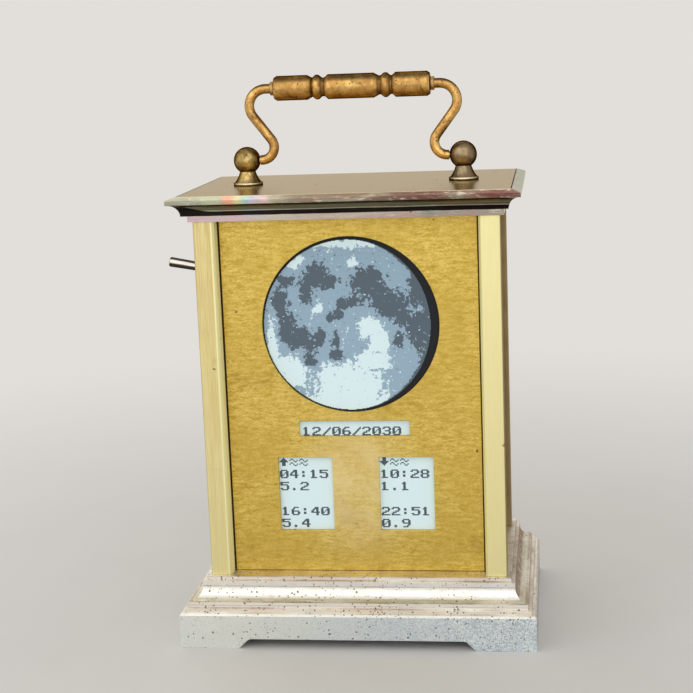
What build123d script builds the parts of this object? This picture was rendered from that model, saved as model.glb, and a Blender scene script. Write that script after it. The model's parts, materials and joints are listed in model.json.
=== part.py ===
from build123d import *
import os
from math import cos, radians, sin, sqrt, tan

os.makedirs("parts", exist_ok=True)

# Millimetres. X runs to the right, Y to the back, Z up. The origin is the middle of the base, on the table

# General fits
overrun = 1.0
shaft_clearance = 0.05
sheet_clearance = 0.1
seat_gap = 0.1

# Case body, measured over the pillars
body_width = 79.8
body_depth = 51.0
pillar_width = 5.6
pillar_depth = 7.0
pillar_bevel = 0.6
pillar_edge = 0.2
lip_width = 1.2
groove_depth = 1.0

# Plinth: how far each tier stands out from the body, and how tall it is
skirt_overhang = 7.8
step_overhang = 6.6
ledge_overhang = 5.6
band_overhang = 2.2
seat_overhang = 1.2
skirt_height = 9.6
skirt_softness = 0.5
step_height = 1.0
ledge_height = 1.5
band_height = 1.45
seat_height = 1.05
plinth_wall = 3.0
plinth_deck = 4.5
hollow_step = 8.0
foot_width = 16.0
foot_rise = 2.6
foot_curve = 2.0

# Cornice: frieze, hollow moulding, fascia and a rim that slopes down round the top plate
cap_overhang_side = 5.5
cap_overhang_front = 6.7
frieze_overhang = 1.05
frieze_height = 1.8
cap_cavetto = 3.2
fascia_height = 1.95
cap_rim = 2.4
cap_slope = 2.2
cap_slope_fall = 0.8

# Sheet parts
top_plate_thickness = 1.2
top_plate_gap = 0.2
mask_thickness = 1.0
mask_recess = 4.0
mask_side_gap = 0.5
side_panel_thickness = 1.0
side_panel_recess = 1.4

# Windows in the mask: the margins that they leave on the panel behind them, and the bars between them
moon_side_margin = 3.0
moon_top_margin = 3.3
moon_date_bar = 2.45
date_side_margin = 11.7
date_window_height = 4.1
date_tide_bar = 5.85
tide_side_margin = 5.6
tide_middle_bar = 12.6
tide_foot_margin = 9.0

# Screws that hold the pillars
screw_radius = 1.25
screw_length = 14.0
screw_head_radius = 2.3
screw_head_height = 1.6
screw_slot_width = 0.6
screw_slot_depth = 0.7
tapped_depth = 11.0

# Rear door, its pins and its knob
door_thickness = 2.4
door_inset = 0.3
door_gap = 0.35
door_stop_gap = 0.3
door_border = 5.0
door_recess = 0.8
door_pin_radius = 0.8
door_pin_length = 6.0
door_pin_reach = 2.6
door_pin_play = 0.2
knob_radius = 2.2
knob_length = 4.6
knob_neck_radius = 1.2
knob_neck_length = 1.6
knob_shank_radius = 0.9
knob_rivet_radius = 1.7
knob_rivet_height = 0.6

# Handle posts
post_inset = 8.0
post_base_radius = 4.0
post_base_height = 0.75
post_flare_radius = 3.7
post_waist_radius = 2.7
post_neck_radius = 2.15
ball_radius = 3.68
pivot_rise = 6.72
post_stud_radius = 1.5
post_nut_width = 5.5
post_nut_height = 2.2
post_stud_end = 0.8

# Handle arms and grip
grip_rise = 19.13
arm_radius = 1.3
arm_gap = 0.12
pivot_pin_radius = 0.9
pivot_bore_end = 0.5
pivot_bore_past = 1.2
shoulder_share = 0.1725
waist_share = 0.382
upper_bend_share = 0.24
lower_bend_share = 0.18
grip_radius = 3.33
grip_end_inset = 8.4
grip_cone = 0.65
grip_cone_radius = 1.85
grip_socket_depth = 4.3
grip_middle_length = 12.6
grip_groove_radius = 2.6
grip_shoulder = 0.35
grip_groove_width = 1.7
grip_bead_width = 2.1

# Electronic paper panel and its board
panel_height = 92.0
panel_thickness = 1.2
panel_side_gap = 3.5
panel_top_gap = 1.8
panel_foot_gap = 2.4
panel_edge = 0.3
board_side_gap = 3.1
board_thickness = 1.6
board_top_gap = 0.4
board_foot_gap = 4.4
board_corner = 1.5
stud_radius = 0.8
stud_shoulder_radius = 1.3
stud_inset = 1.8
stud_lower_inset = 3.1
stud_upper_inset = 2.8
stud_end = 0.3
stud_nut_width = 3.2
stud_nut_height = 1.3
ribbon_width = 20.0
ribbon_thickness = 0.2
ribbon_drop = 0.5
ribbon_socket_width = 24.0
ribbon_socket_height = 5.0
ribbon_socket_thickness = 2.0
ribbon_socket_lift = 3.0

# Controller board and what it carries
controller_width = 21.0
controller_length = 51.0
controller_thickness = 1.0
controller_foot = 26.9
controller_corner = 1.0
header_spacing = 17.78
header_width = 2.54
header_end_margin = 0.1
socket_height = 8.5
pin_header_height = 2.5
chip_size = 7.0
chip_height = 0.9
chip_place_share = 0.53
can_width = 12.0
can_length = 9.0
can_height = 1.6
can_place_share = 0.16
usb_width = 7.6
usb_length = 5.6
usb_height = 2.6
usb_wall = 0.4
usb_overhang = 1.2
usb_tongue = 0.7
button_housing_size = 3.6
button_housing_height = 1.6
button_place = 5.0
button_place_share = 0.77
button_radius = 0.9
button_bore_depth = 1.3
button_stem = 0.9
button_proud = 0.6

# Battery holder and cells
holder_depth = 12.6
holder_wall = 1.6
holder_back_gap = 3.0
pad_thickness = 1.0
cell_count = 3
cell_pitch = 11.0
cell_radius = 5.25
cell_length = 43.7
cell_nub_radius = 1.9
cell_nub_height = 0.8
cell_edge = 0.4
cell_clearance = 0.1
pocket_margin = 0.8
contact_thickness = 0.4
contact_width = 8.0
contact_bump_radius = 1.6
contact_end_gap = 0.15
contact_room = 2.15

# Toggle switch in the left side panel
switch_drop = 15.8
switch_body_length = 10.0
switch_body_width = 7.9
switch_body_height = 13.2
switch_body_edge = 0.4
bush_radius = 3.0
bush_bore = 2.1
bush_length = 6.55
bush_flange = 0.6
bush_flange_margin = 0.5
washer_radius = 4.8
washer_thickness = 0.5
nut_width = 8.0
nut_height = 1.8
lever_pivot_inset = 2.0
lever_ball_radius = 2.05
lever_length = 10.9
lever_root_radius = 1.22
lever_tip_radius = 1.36
lever_tip_edge = 0.2
lever_tail_radius = 0.8
lever_tail_length = 3.2
lever_tilt = 10.6
terminal_spacing = 4.7
terminal_width = 2.0
terminal_thickness = 0.8
terminal_length = 4.0

# Wires
wire_radius = 0.6
wire_bend_share = 0.45
holder_wire_spread = 30.0
holder_wire_inset = 2.4
plus_rise_share = 0.4
plus_reach = 5.4
minus_rise_share = 0.42
pad_wire_drop = 5.9
pad_wire_run = 6.5

# Levels and planes that several pieces share
plinth_cavetto = ledge_overhang - band_overhang
ledge_top = skirt_height + step_height + ledge_height
deck_top = ledge_top + plinth_cavetto + band_height + seat_height
pillar_height = panel_foot_gap + panel_height + panel_top_gap
cap_bottom = deck_top + pillar_height
cap_top = cap_bottom + frieze_height + cap_cavetto + fascia_height
half_width = body_width / 2
half_depth = body_depth / 2
pillar_inner = half_width - pillar_width
mask_front = -half_depth + mask_recess
mask_back = mask_front + mask_thickness
door_back = half_depth - door_inset
door_front = door_back - door_thickness
panel_outer = half_width - side_panel_recess
panel_inner = panel_outer - side_panel_thickness
pillar_centre_x = half_width - pillar_width / 2
pillar_centre_y = half_depth - pillar_depth / 2
pivot_height = cap_top + pivot_rise
grip_height = pivot_height + grip_rise
post_x = panel_inner - post_inset


def hand_over(piece, name):
    piece.label = name
    export_step(piece, "parts/" + name + ".step")


def span(low, high):
    return (low + high) / 2


# Plinth: two mitred moulding profiles, one across the width and one across the depth
def plinth_section(plane, half):
    band_bottom = ledge_top + plinth_cavetto
    with BuildSketch(plane) as section:
        with BuildLine():
            Polyline(
                (0, 0),
                (half + skirt_overhang, 0),
                (half + skirt_overhang, skirt_height - skirt_softness),
                (half + skirt_overhang - skirt_softness, skirt_height),
                (half + step_overhang, skirt_height),
                (half + step_overhang, skirt_height + step_height),
                (half + ledge_overhang, skirt_height + step_height),
                (half + ledge_overhang, ledge_top),
            )
            CenterArc((half + ledge_overhang, band_bottom), plinth_cavetto, 180, 90)
            Polyline(
                (half + band_overhang, band_bottom),
                (half + band_overhang, band_bottom + band_height),
                (half + seat_overhang, band_bottom + band_height),
                (half + seat_overhang, deck_top),
                (0, deck_top),
            )
            mirror(about=Plane.YZ)
        make_face()
    return section.sketch


hinge_x = pillar_inner - door_gap - door_thickness / 2
hinge_y = door_back - door_thickness / 2
skirt_half_width = half_width + skirt_overhang
skirt_half_depth = half_depth + skirt_overhang
notch_half = skirt_half_width - foot_width

with BuildPart() as plinth:
    extrude(plinth_section(Plane.XZ, half_width), amount=2 * skirt_half_depth, both=True)
    extrude(
        plinth_section(Plane.YZ, half_depth),
        amount=2 * skirt_half_width,
        both=True,
        mode=Mode.INTERSECT,
    )
    # Hollow from below, in two steps that follow the moulding
    with BuildSketch(Plane.XY):
        Rectangle(2 * (skirt_half_width - plinth_wall), 2 * (skirt_half_depth - plinth_wall))
    extrude(amount=hollow_step, mode=Mode.SUBTRACT)
    with BuildSketch(Plane.XY):
        Rectangle(body_width, body_depth)
    extrude(amount=deck_top - plinth_deck, mode=Mode.SUBTRACT)
    # Cut-out between the front feet
    with BuildSketch(Plane.XZ.offset(skirt_half_depth + overrun)):
        with BuildLine():
            Polyline(
                (-notch_half - overrun, -overrun),
                (-notch_half + foot_rise, foot_rise),
                (notch_half - foot_rise, foot_rise),
                (notch_half + overrun, -overrun),
                close=True,
            )
        notch = make_face()
        fillet(notch.vertices().group_by(Axis.Y)[-1], foot_curve)
    extrude(amount=-(plinth_wall + 2 * overrun), mode=Mode.SUBTRACT)
    # Screw holes under the pillars
    with BuildSketch(Plane.XY.offset(deck_top)):
        with GridLocations(2 * pillar_centre_x, 2 * pillar_centre_y, 2, 2):
            Circle(screw_radius + shaft_clearance)
    extrude(amount=-(plinth_deck + overrun), mode=Mode.SUBTRACT)
    # Socket for the lower hinge pin of the door
    with BuildSketch(Plane.XY.offset(deck_top)):
        with Locations((hinge_x, hinge_y)):
            Circle(door_pin_radius + shaft_clearance)
    extrude(amount=-(door_pin_reach + door_pin_play), mode=Mode.SUBTRACT)
hand_over(plinth.part, "plinth")


# Pillars: bevelled at the inner corner, with a lip behind the mask or the door and a side panel groove
def pillar(side, end, lip_face):
    # lip_face is the depth, from the outer end face, at which the lip begins
    outer_y = half_depth
    with BuildPart() as piece:
        with BuildSketch(Plane.XY.offset(deck_top)):
            with BuildLine():
                Polyline(
                    (side * (half_width - pillar_edge), end * outer_y),
                    (side * (pillar_inner + pillar_bevel), end * outer_y),
                    (side * pillar_inner, end * (outer_y - pillar_bevel)),
                    (side * pillar_inner, end * (outer_y - lip_face)),
                    (side * (pillar_inner - lip_width), end * (outer_y - lip_face)),
                    (side * (pillar_inner - lip_width), end * (outer_y - pillar_depth)),
                    (side * half_width, end * (outer_y - pillar_depth)),
                    (side * half_width, end * (outer_y - pillar_edge)),
                    close=True,
                )
            make_face()
            with Locations((side * span(panel_inner, panel_outer), end * (outer_y - pillar_depth))):
                Rectangle(
                    side_panel_thickness + 2 * sheet_clearance,
                    2 * groove_depth,
                    mode=Mode.SUBTRACT,
                )
        extrude(amount=pillar_height)
        for level, reach in ((deck_top, tapped_depth), (cap_bottom, -tapped_depth)):
            with BuildSketch(Plane.XY.offset(level)):
                with Locations((side * pillar_centre_x, end * pillar_centre_y)):
                    Circle(screw_radius + shaft_clearance)
            extrude(amount=reach, mode=Mode.SUBTRACT)
    return piece.part


front_lip_face = mask_recess + mask_thickness
rear_lip_face = door_inset + door_thickness + door_stop_gap
for side, side_name in ((-1, "left"), (1, "right")):
    hand_over(pillar(side, -1, front_lip_face), "pillar_front_" + side_name)
    hand_over(pillar(side, 1, rear_lip_face), "pillar_rear_" + side_name)


# Cornice, made as the plinth is
def cap_section(plane, half, overhang):
    frieze_top = cap_bottom + frieze_height
    with BuildSketch(plane) as section:
        with BuildLine():
            Polyline(
                (0, cap_bottom),
                (half + frieze_overhang, cap_bottom),
                (half + frieze_overhang, frieze_top),
                (half + overhang - cap_cavetto, frieze_top),
            )
            CenterArc((half + overhang, frieze_top), cap_cavetto, 90, 90)
            Polyline(
                (half + overhang, frieze_top + cap_cavetto),
                (half + overhang, cap_top - cap_slope_fall),
                (half + overhang - cap_slope, cap_top),
                (0, cap_top),
            )
            mirror(about=Plane.YZ)
        make_face()
    return section.sketch


cap_half_width = half_width + cap_overhang_side
cap_half_depth = half_depth + cap_overhang_front
plate_seat = cap_top - top_plate_thickness

with BuildPart() as cap:
    extrude(
        cap_section(Plane.XZ, half_width, cap_overhang_side),
        amount=2 * cap_half_depth,
        both=True,
    )
    extrude(
        cap_section(Plane.YZ, half_depth, cap_overhang_front),
        amount=2 * cap_half_width,
        both=True,
        mode=Mode.INTERSECT,
    )
    with BuildSketch(Plane.XY.offset(plate_seat)):
        Rectangle(2 * (cap_half_width - cap_rim), 2 * (cap_half_depth - cap_rim))
    extrude(amount=top_plate_thickness + overrun, mode=Mode.SUBTRACT)
    with BuildSketch(Plane.XY.offset(plate_seat)):
        with GridLocations(2 * pillar_centre_x, 2 * pillar_centre_y, 2, 2):
            Circle(screw_radius + shaft_clearance)
        with GridLocations(2 * post_x, 0, 2, 1):
            Circle(post_stud_radius + shaft_clearance)
    extrude(amount=-(cap_top - cap_bottom), mode=Mode.SUBTRACT)
    # Countersinks for the upper pillar screws, so that the top plate lies flat on them
    with BuildSketch(Plane.XY.offset(plate_seat)):
        with GridLocations(2 * pillar_centre_x, 2 * pillar_centre_y, 2, 2):
            Circle(screw_head_radius + shaft_clearance)
    extrude(amount=-(screw_head_height + seat_gap), mode=Mode.SUBTRACT)
    with BuildSketch(Plane.XY.offset(cap_bottom)):
        with Locations((hinge_x, hinge_y)):
            Circle(door_pin_radius + shaft_clearance)
    extrude(amount=door_pin_reach + door_pin_play, mode=Mode.SUBTRACT)
hand_over(cap.part, "cap")

with BuildPart() as top_plate:
    with BuildSketch(Plane.XY.offset(plate_seat)):
        Rectangle(
            2 * (cap_half_width - cap_rim - top_plate_gap),
            2 * (cap_half_depth - cap_rim - top_plate_gap),
        )
        with GridLocations(2 * post_x, 0, 2, 1):
            Circle(post_stud_radius + shaft_clearance, mode=Mode.SUBTRACT)
    extrude(amount=top_plate_thickness)
hand_over(top_plate.part, "top_plate")


# Pillar screws, slotted cheese heads with their shanks pointing up or down into the pillars
def pillar_screws(head_level, direction):
    with BuildPart() as piece:
        with BuildSketch(Plane.XY.offset(head_level)):
            with GridLocations(2 * pillar_centre_x, 2 * pillar_centre_y, 2, 2):
                Circle(screw_head_radius)
        extrude(amount=-direction * screw_head_height)
        with BuildSketch(Plane.XY.offset(head_level)):
            with GridLocations(2 * pillar_centre_x, 2 * pillar_centre_y, 2, 2):
                Circle(screw_radius)
        extrude(amount=direction * screw_length)
        with BuildSketch(Plane.XY.offset(head_level - direction * screw_head_height)):
            with GridLocations(2 * pillar_centre_x, 2 * pillar_centre_y, 2, 2):
                Rectangle(2 * screw_head_radius + overrun, screw_slot_width)
        extrude(amount=direction * screw_slot_depth, mode=Mode.SUBTRACT)
    return piece.part


hand_over(pillar_screws(deck_top - plinth_deck, 1), "pillar_screws_lower")
hand_over(pillar_screws(plate_seat - screw_head_height - seat_gap, -1), "pillar_screws_upper")

# Panel and its windows, measured from the lips of the pillars inwards and from the top down
board_width = 2 * (pillar_inner - lip_width - board_side_gap)
panel_width = board_width - 2 * panel_side_gap
panel_bottom = deck_top + panel_foot_gap
panel_top = panel_bottom + panel_height
moon_radius = panel_width / 2 - moon_side_margin
moon_height = panel_top - moon_top_margin - moon_radius
date_window_width = panel_width - 2 * date_side_margin
date_height = moon_height - moon_radius - moon_date_bar - date_window_height / 2
tide_window_width = (panel_width - tide_middle_bar) / 2 - tide_side_margin
tide_spread = tide_window_width + tide_middle_bar
tide_top = date_height - date_window_height / 2 - date_tide_bar
tide_bottom = panel_bottom + tide_foot_margin

# Front mask: a brass sheet between the pillars, against their lips
with BuildPart() as front_mask:
    with BuildSketch(Plane.XZ.offset(-mask_front)):
        with Locations((0, span(deck_top, cap_bottom))):
            Rectangle(2 * (pillar_inner - mask_side_gap), pillar_height - 2 * seat_gap)
        with Locations((0, moon_height)):
            Circle(moon_radius, mode=Mode.SUBTRACT)
        with Locations((0, date_height)):
            Rectangle(date_window_width, date_window_height, mode=Mode.SUBTRACT)
        with Locations((0, span(tide_bottom, tide_top))):
            with GridLocations(tide_spread, 0, 2, 1):
                Rectangle(tide_window_width, tide_top - tide_bottom, mode=Mode.SUBTRACT)
    extrude(amount=-mask_thickness)
hand_over(front_mask.part, "front_mask")

# Side panels, held in the grooves of the pillars
switch_z = cap_bottom - switch_drop
panel_length = body_depth - 2 * (pillar_depth - groove_depth + sheet_clearance)
for side, side_name in ((-1, "left"), (1, "right")):
    with BuildPart() as side_panel:
        with BuildSketch(Plane.YZ.offset(side * panel_inner)):
            with Locations((0, span(deck_top, cap_bottom))):
                Rectangle(panel_length, pillar_height - 2 * seat_gap)
            if side < 0:
                with Locations((0, switch_z)):
                    Circle(bush_radius + shaft_clearance, mode=Mode.SUBTRACT)
        extrude(amount=side * side_panel_thickness)
    hand_over(side_panel.part, "side_panel_" + side_name)

# Rear door: its hinge edge is round about the pins, and its outer face has a raised border
door_low = deck_top + door_gap
door_high = cap_bottom - door_gap
door_latch_x = -pillar_inner + door_gap
knob_x = lip_width - pillar_inner + door_gap + knob_rivet_radius
knob_z = span(door_low, door_high)

with BuildPart() as rear_door:
    with BuildSketch(Plane.XY.offset(door_low)):
        with Locations((span(door_latch_x, hinge_x), hinge_y)):
            Rectangle(hinge_x - door_latch_x, door_thickness)
        with Locations((hinge_x, hinge_y)):
            Circle(door_thickness / 2)
    extrude(amount=door_high - door_low)
    with BuildSketch(Plane.XZ.offset(-door_back)):
        with Locations((span(door_latch_x, hinge_x), knob_z)):
            RectangleRounded(
                hinge_x - door_latch_x - 2 * door_border,
                door_high - door_low - 2 * door_border,
                door_border / 2,
            )
    extrude(amount=door_recess, mode=Mode.SUBTRACT)
    for level, reach in ((door_low, 1), (door_high, -1)):
        with BuildSketch(Plane.XY.offset(level)):
            with Locations((hinge_x, hinge_y)):
                Circle(door_pin_radius + shaft_clearance)
        extrude(
            amount=reach * (door_pin_length - door_pin_reach - door_gap + seat_gap),
            mode=Mode.SUBTRACT,
        )
    with BuildSketch(Plane.XZ.offset(-door_back)):
        with Locations((knob_x, knob_z)):
            Circle(knob_shank_radius + shaft_clearance)
    extrude(amount=door_thickness, mode=Mode.SUBTRACT)
hand_over(rear_door.part, "rear_door")

with BuildPart() as door_hinge_pins:
    for start in (deck_top - door_pin_reach, cap_bottom + door_pin_reach - door_pin_length):
        with BuildSketch(Plane.XY.offset(start)):
            with Locations((hinge_x, hinge_y)):
                Circle(door_pin_radius)
        extrude(amount=door_pin_length)
hand_over(door_hinge_pins.part, "door_hinge_pins")

# Door knob, turned in one piece with its rivet
with BuildPart() as door_knob:
    with BuildSketch(Plane(origin=(knob_x, 0, knob_z), x_dir=(1, 0, 0), z_dir=(0, 0, 1))):
        with BuildLine():
            neck_end = door_back + knob_neck_length
            knob_end = door_back + knob_length
            Polyline(
                (0, door_front - knob_rivet_height),
                (knob_rivet_radius, door_front - knob_rivet_height),
                (knob_rivet_radius, door_front),
                (knob_shank_radius, door_front),
                (knob_shank_radius, door_back),
                (knob_neck_radius, door_back),
                (knob_neck_radius, neck_end),
            )
            ThreePointArc(
                (knob_neck_radius, neck_end),
                (knob_radius, span(neck_end, knob_end)),
                (knob_neck_radius, knob_end),
            )
            Polyline(
                (knob_neck_radius, knob_end),
                (0, knob_end),
                (0, door_front - knob_rivet_height),
            )
        make_face()
    revolve(axis=Axis((knob_x, 0, knob_z), (0, 1, 0)))
hand_over(door_knob.part, "door_knob")

# Handle posts: base disc, hollow flare, ball, and a stud through the top plate and the cornice
stud_bottom = cap_bottom - post_nut_height - post_stud_end
arm_seat = post_x - ball_radius - arm_gap
for side, side_name in ((-1, "left"), (1, "right")):
    with BuildPart() as handle_post:
        with BuildSketch(Plane(origin=(side * post_x, 0, 0), x_dir=(1, 0, 0), z_dir=(0, -1, 0))):
            neck_top = pivot_height - sqrt(ball_radius**2 - post_neck_radius**2)
            base_top = cap_top + post_base_height
            with BuildLine():
                Polyline(
                    (0, stud_bottom),
                    (post_stud_radius, stud_bottom),
                    (post_stud_radius, cap_top),
                    (post_base_radius, cap_top),
                    (post_base_radius, base_top),
                    (post_flare_radius, base_top),
                )
                ThreePointArc(
                    (post_flare_radius, base_top),
                    (post_waist_radius, span(base_top, neck_top)),
                    (post_neck_radius, neck_top),
                )
                ThreePointArc(
                    (post_neck_radius, neck_top),
                    (ball_radius, pivot_height),
                    (0, pivot_height + ball_radius),
                )
                Line((0, pivot_height + ball_radius), (0, stud_bottom))
            make_face()
        revolve(axis=Axis((side * post_x, 0, 0), (0, 0, 1)))
        with BuildSketch(Plane.YZ.offset(side * (arm_seat - overrun))):
            with Locations((0, pivot_height)):
                Circle(pivot_pin_radius + shaft_clearance)
        extrude(
            amount=side * (post_x + pivot_bore_past - arm_seat + overrun),
            mode=Mode.SUBTRACT,
        )
    hand_over(handle_post.part, "handle_post_" + side_name)

with BuildPart() as handle_post_nuts:
    with BuildSketch(Plane.XY.offset(cap_bottom)):
        with GridLocations(2 * post_x, 0, 2, 1):
            RegularPolygon(post_nut_width / 2, 6, major_radius=False)
            Circle(post_stud_radius + shaft_clearance, mode=Mode.SUBTRACT)
    extrude(amount=-post_nut_height)
hand_over(handle_post_nuts.part, "handle_post_nuts")

# Handle arms: a rod bent twice, with a thinner pin that turns in the ball
grip_half = post_x - grip_end_inset
for side, side_name in ((-1, "left"), (1, "right")):
    with BuildPart() as handle_arm:
        with BuildLine() as arm_path:
            FilletPolyline(
                (side * (grip_half - grip_socket_depth + seat_gap), 0, grip_height),
                (side * (post_x + shoulder_share * grip_rise), 0, grip_height),
                (side * (arm_seat - waist_share * grip_rise), 0, pivot_height),
                (side * arm_seat, 0, pivot_height),
                radius=[upper_bend_share * grip_rise, lower_bend_share * grip_rise],
            )
        with BuildSketch(Plane(origin=arm_path.line @ 0, z_dir=arm_path.line % 0)):
            Circle(arm_radius)
        sweep(path=arm_path.line)
        with BuildSketch(Plane.YZ.offset(side * arm_seat)):
            with Locations((0, pivot_height)):
                Circle(pivot_pin_radius)
        extrude(amount=side * (post_x + pivot_bore_past - pivot_bore_end - arm_seat))
    hand_over(handle_arm.part, "handle_arm_" + side_name)

# Handle grip: three barrels with a bead between grooves at each joint
with BuildPart() as handle_grip:
    with BuildSketch(Plane.XZ):
        with BuildLine():
            middle = grip_middle_length / 2
            bead_start = middle + grip_shoulder + grip_groove_width / 2
            bead_end = bead_start + grip_bead_width
            outer_start = bead_end + grip_groove_width / 2 + grip_shoulder
            Polyline(
                (0, grip_height + grip_radius),
                (middle, grip_height + grip_radius),
                (middle + grip_shoulder, grip_height + grip_groove_radius),
                (bead_start, grip_height + grip_groove_radius),
            )
            ThreePointArc(
                (bead_start, grip_height + grip_groove_radius),
                (span(bead_start, bead_end), grip_height + grip_radius),
                (bead_end, grip_height + grip_groove_radius),
            )
            Polyline(
                (bead_end, grip_height + grip_groove_radius),
                (outer_start - grip_shoulder, grip_height + grip_groove_radius),
                (outer_start, grip_height + grip_radius),
                (grip_half - grip_cone, grip_height + grip_radius),
                (grip_half, grip_height + grip_cone_radius),
                (grip_half, grip_height),
            )
            mirror(about=Plane.YZ)
            Line((-grip_half, grip_height), (grip_half, grip_height))
        make_face()
    revolve(axis=Axis((0, 0, grip_height), (1, 0, 0)))
    for side in (-1, 1):
        with BuildSketch(Plane.YZ.offset(side * (grip_half + overrun))):
            with Locations((0, grip_height)):
                Circle(arm_radius + shaft_clearance)
        extrude(amount=-side * (grip_socket_depth + overrun), mode=Mode.SUBTRACT)
hand_over(handle_grip.part, "handle_grip")

# Electronic paper panel behind the mask
panel_front = mask_back + seat_gap
panel_back = panel_front + panel_thickness

with BuildPart() as display_panel:
    with BuildSketch(Plane.XZ.offset(-panel_front)):
        with Locations((0, span(panel_bottom, panel_top))):
            RectangleRounded(panel_width, panel_height, panel_edge)
    extrude(amount=-panel_thickness)
hand_over(display_panel.part, "display_panel")

# Display board, on four shouldered studs that stand on the back of the mask
board_front = panel_back + seat_gap
board_back = board_front + board_thickness
board_top = cap_bottom - board_top_gap
board_bottom = deck_top + board_foot_gap
stud_x = board_width / 2 - stud_inset
stud_levels = (board_bottom + stud_lower_inset, board_top - stud_upper_inset)
stud_places = [(x, z) for x in (-stud_x, stud_x) for z in stud_levels]

with BuildPart() as display_board:
    with BuildSketch(Plane.XZ.offset(-board_front)):
        with Locations((0, span(board_bottom, board_top))):
            RectangleRounded(board_width, board_top - board_bottom, board_corner)
        with Locations(*stud_places):
            Circle(stud_radius + shaft_clearance, mode=Mode.SUBTRACT)
    extrude(amount=-board_thickness)
hand_over(display_board.part, "display_board")

with BuildPart() as mask_studs:
    with BuildSketch(Plane.XZ.offset(-mask_back)):
        with Locations(*stud_places):
            Circle(stud_shoulder_radius)
    extrude(amount=-(board_front - mask_back))
    with BuildSketch(Plane.XZ.offset(-board_front)):
        with Locations(*stud_places):
            Circle(stud_radius)
    extrude(amount=-(board_thickness + stud_nut_height + stud_end))
hand_over(mask_studs.part, "mask_studs")

with BuildPart() as stud_nuts:
    with BuildSketch(Plane.XZ.offset(-board_back)):
        with Locations(*stud_places):
            RegularPolygon(stud_nut_width / 2, 6, major_radius=False)
            Circle(stud_radius + shaft_clearance, mode=Mode.SUBTRACT)
    extrude(amount=-stud_nut_height)
hand_over(stud_nuts.part, "stud_nuts")

# Ribbon from the foot of the panel, round the foot of the board and up to its connector
ribbon_front_y = span(panel_front, panel_back)
ribbon_back_y = board_back + ribbon_thickness + seat_gap
ribbon_turn = (ribbon_back_y - ribbon_front_y) / 2
ribbon_turn_z = panel_bottom - ribbon_drop
ribbon_top = board_bottom + ribbon_socket_lift

with BuildPart() as display_ribbon:
    with BuildLine() as ribbon_path:
        Line((0, ribbon_front_y, panel_bottom), (0, ribbon_front_y, ribbon_turn_z))
        ThreePointArc(
            (0, ribbon_front_y, ribbon_turn_z),
            (0, ribbon_front_y + ribbon_turn, ribbon_turn_z - ribbon_turn),
            (0, ribbon_back_y, ribbon_turn_z),
        )
        Line((0, ribbon_back_y, ribbon_turn_z), (0, ribbon_back_y, ribbon_top))
    with BuildSketch(Plane(origin=ribbon_path.line @ 0, x_dir=(1, 0, 0), z_dir=(0, 0, -1))):
        Rectangle(ribbon_width, ribbon_thickness)
    sweep(path=ribbon_path.line)
hand_over(display_ribbon.part, "display_ribbon")

with BuildPart() as ribbon_connector:
    with BuildSketch(Plane.XZ.offset(-board_back)):
        with Locations((0, ribbon_top + ribbon_socket_height / 2)):
            Rectangle(ribbon_socket_width, ribbon_socket_height)
    extrude(amount=-ribbon_socket_thickness)
    chamfer(ribbon_connector.edges().filter_by(Axis.X).sort_by(Axis.Y)[-2:], panel_edge)
hand_over(ribbon_connector.part, "ribbon_connector")

# Header sockets on the display board, and the controller board on its pin headers in them
controller_bottom = deck_top + controller_foot
controller_z = controller_bottom + controller_length / 2
header_length = controller_length - 2 * header_end_margin
socket_back = board_back + socket_height
controller_front = socket_back + pin_header_height
controller_back = controller_front + controller_thickness

with BuildPart() as header_sockets:
    with BuildSketch(Plane.XZ.offset(-board_back)):
        with Locations((0, controller_z)):
            with GridLocations(header_spacing, 0, 2, 1):
                Rectangle(header_width, header_length)
    extrude(amount=-socket_height)
hand_over(header_sockets.part, "header_sockets")

with BuildPart() as pin_headers:
    with BuildSketch(Plane.XZ.offset(-socket_back)):
        with Locations((0, controller_z)):
            with GridLocations(header_spacing, 0, 2, 1):
                Rectangle(header_width, header_length)
    extrude(amount=-pin_header_height)
hand_over(pin_headers.part, "pin_headers")

with BuildPart() as controller_board:
    with BuildSketch(Plane.XZ.offset(-controller_front)):
        with Locations((0, controller_z)):
            RectangleRounded(controller_width, controller_length, controller_corner)
    extrude(amount=-controller_thickness)
hand_over(controller_board.part, "controller_board")

chip_z = controller_bottom + chip_place_share * controller_length
can_z = controller_bottom + can_place_share * controller_length
usb_z = controller_bottom + controller_length + usb_overhang - usb_length / 2
button_z = controller_bottom + button_place_share * controller_length

with BuildPart() as controller_chip:
    with BuildSketch(Plane.XZ.offset(-controller_back)):
        with Locations((0, chip_z)):
            Rectangle(chip_size, chip_size)
    extrude(amount=-chip_height)
hand_over(controller_chip.part, "controller_chip")

with BuildPart() as radio_can:
    with BuildSketch(Plane.XZ.offset(-controller_back)):
        with Locations((0, can_z)):
            RectangleRounded(can_width, can_length, panel_edge)
    extrude(amount=-can_height)
hand_over(radio_can.part, "radio_can")

with BuildPart() as usb_socket:
    with BuildSketch(Plane.XZ.offset(-controller_back)):
        with Locations((0, usb_z)):
            Rectangle(usb_width, usb_length)
    extrude(amount=-usb_height)
    mouth_y = controller_back + usb_height / 2
    with BuildSketch(Plane.XY.offset(usb_z + usb_length / 2)):
        with Locations((0, mouth_y)):
            Rectangle(usb_width - 2 * usb_wall, usb_height - 2 * usb_wall)
            Rectangle(usb_width - 6 * usb_wall, usb_tongue, mode=Mode.SUBTRACT)
    extrude(amount=-(usb_length - usb_wall), mode=Mode.SUBTRACT)
hand_over(usb_socket.part, "usb_socket")

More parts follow.
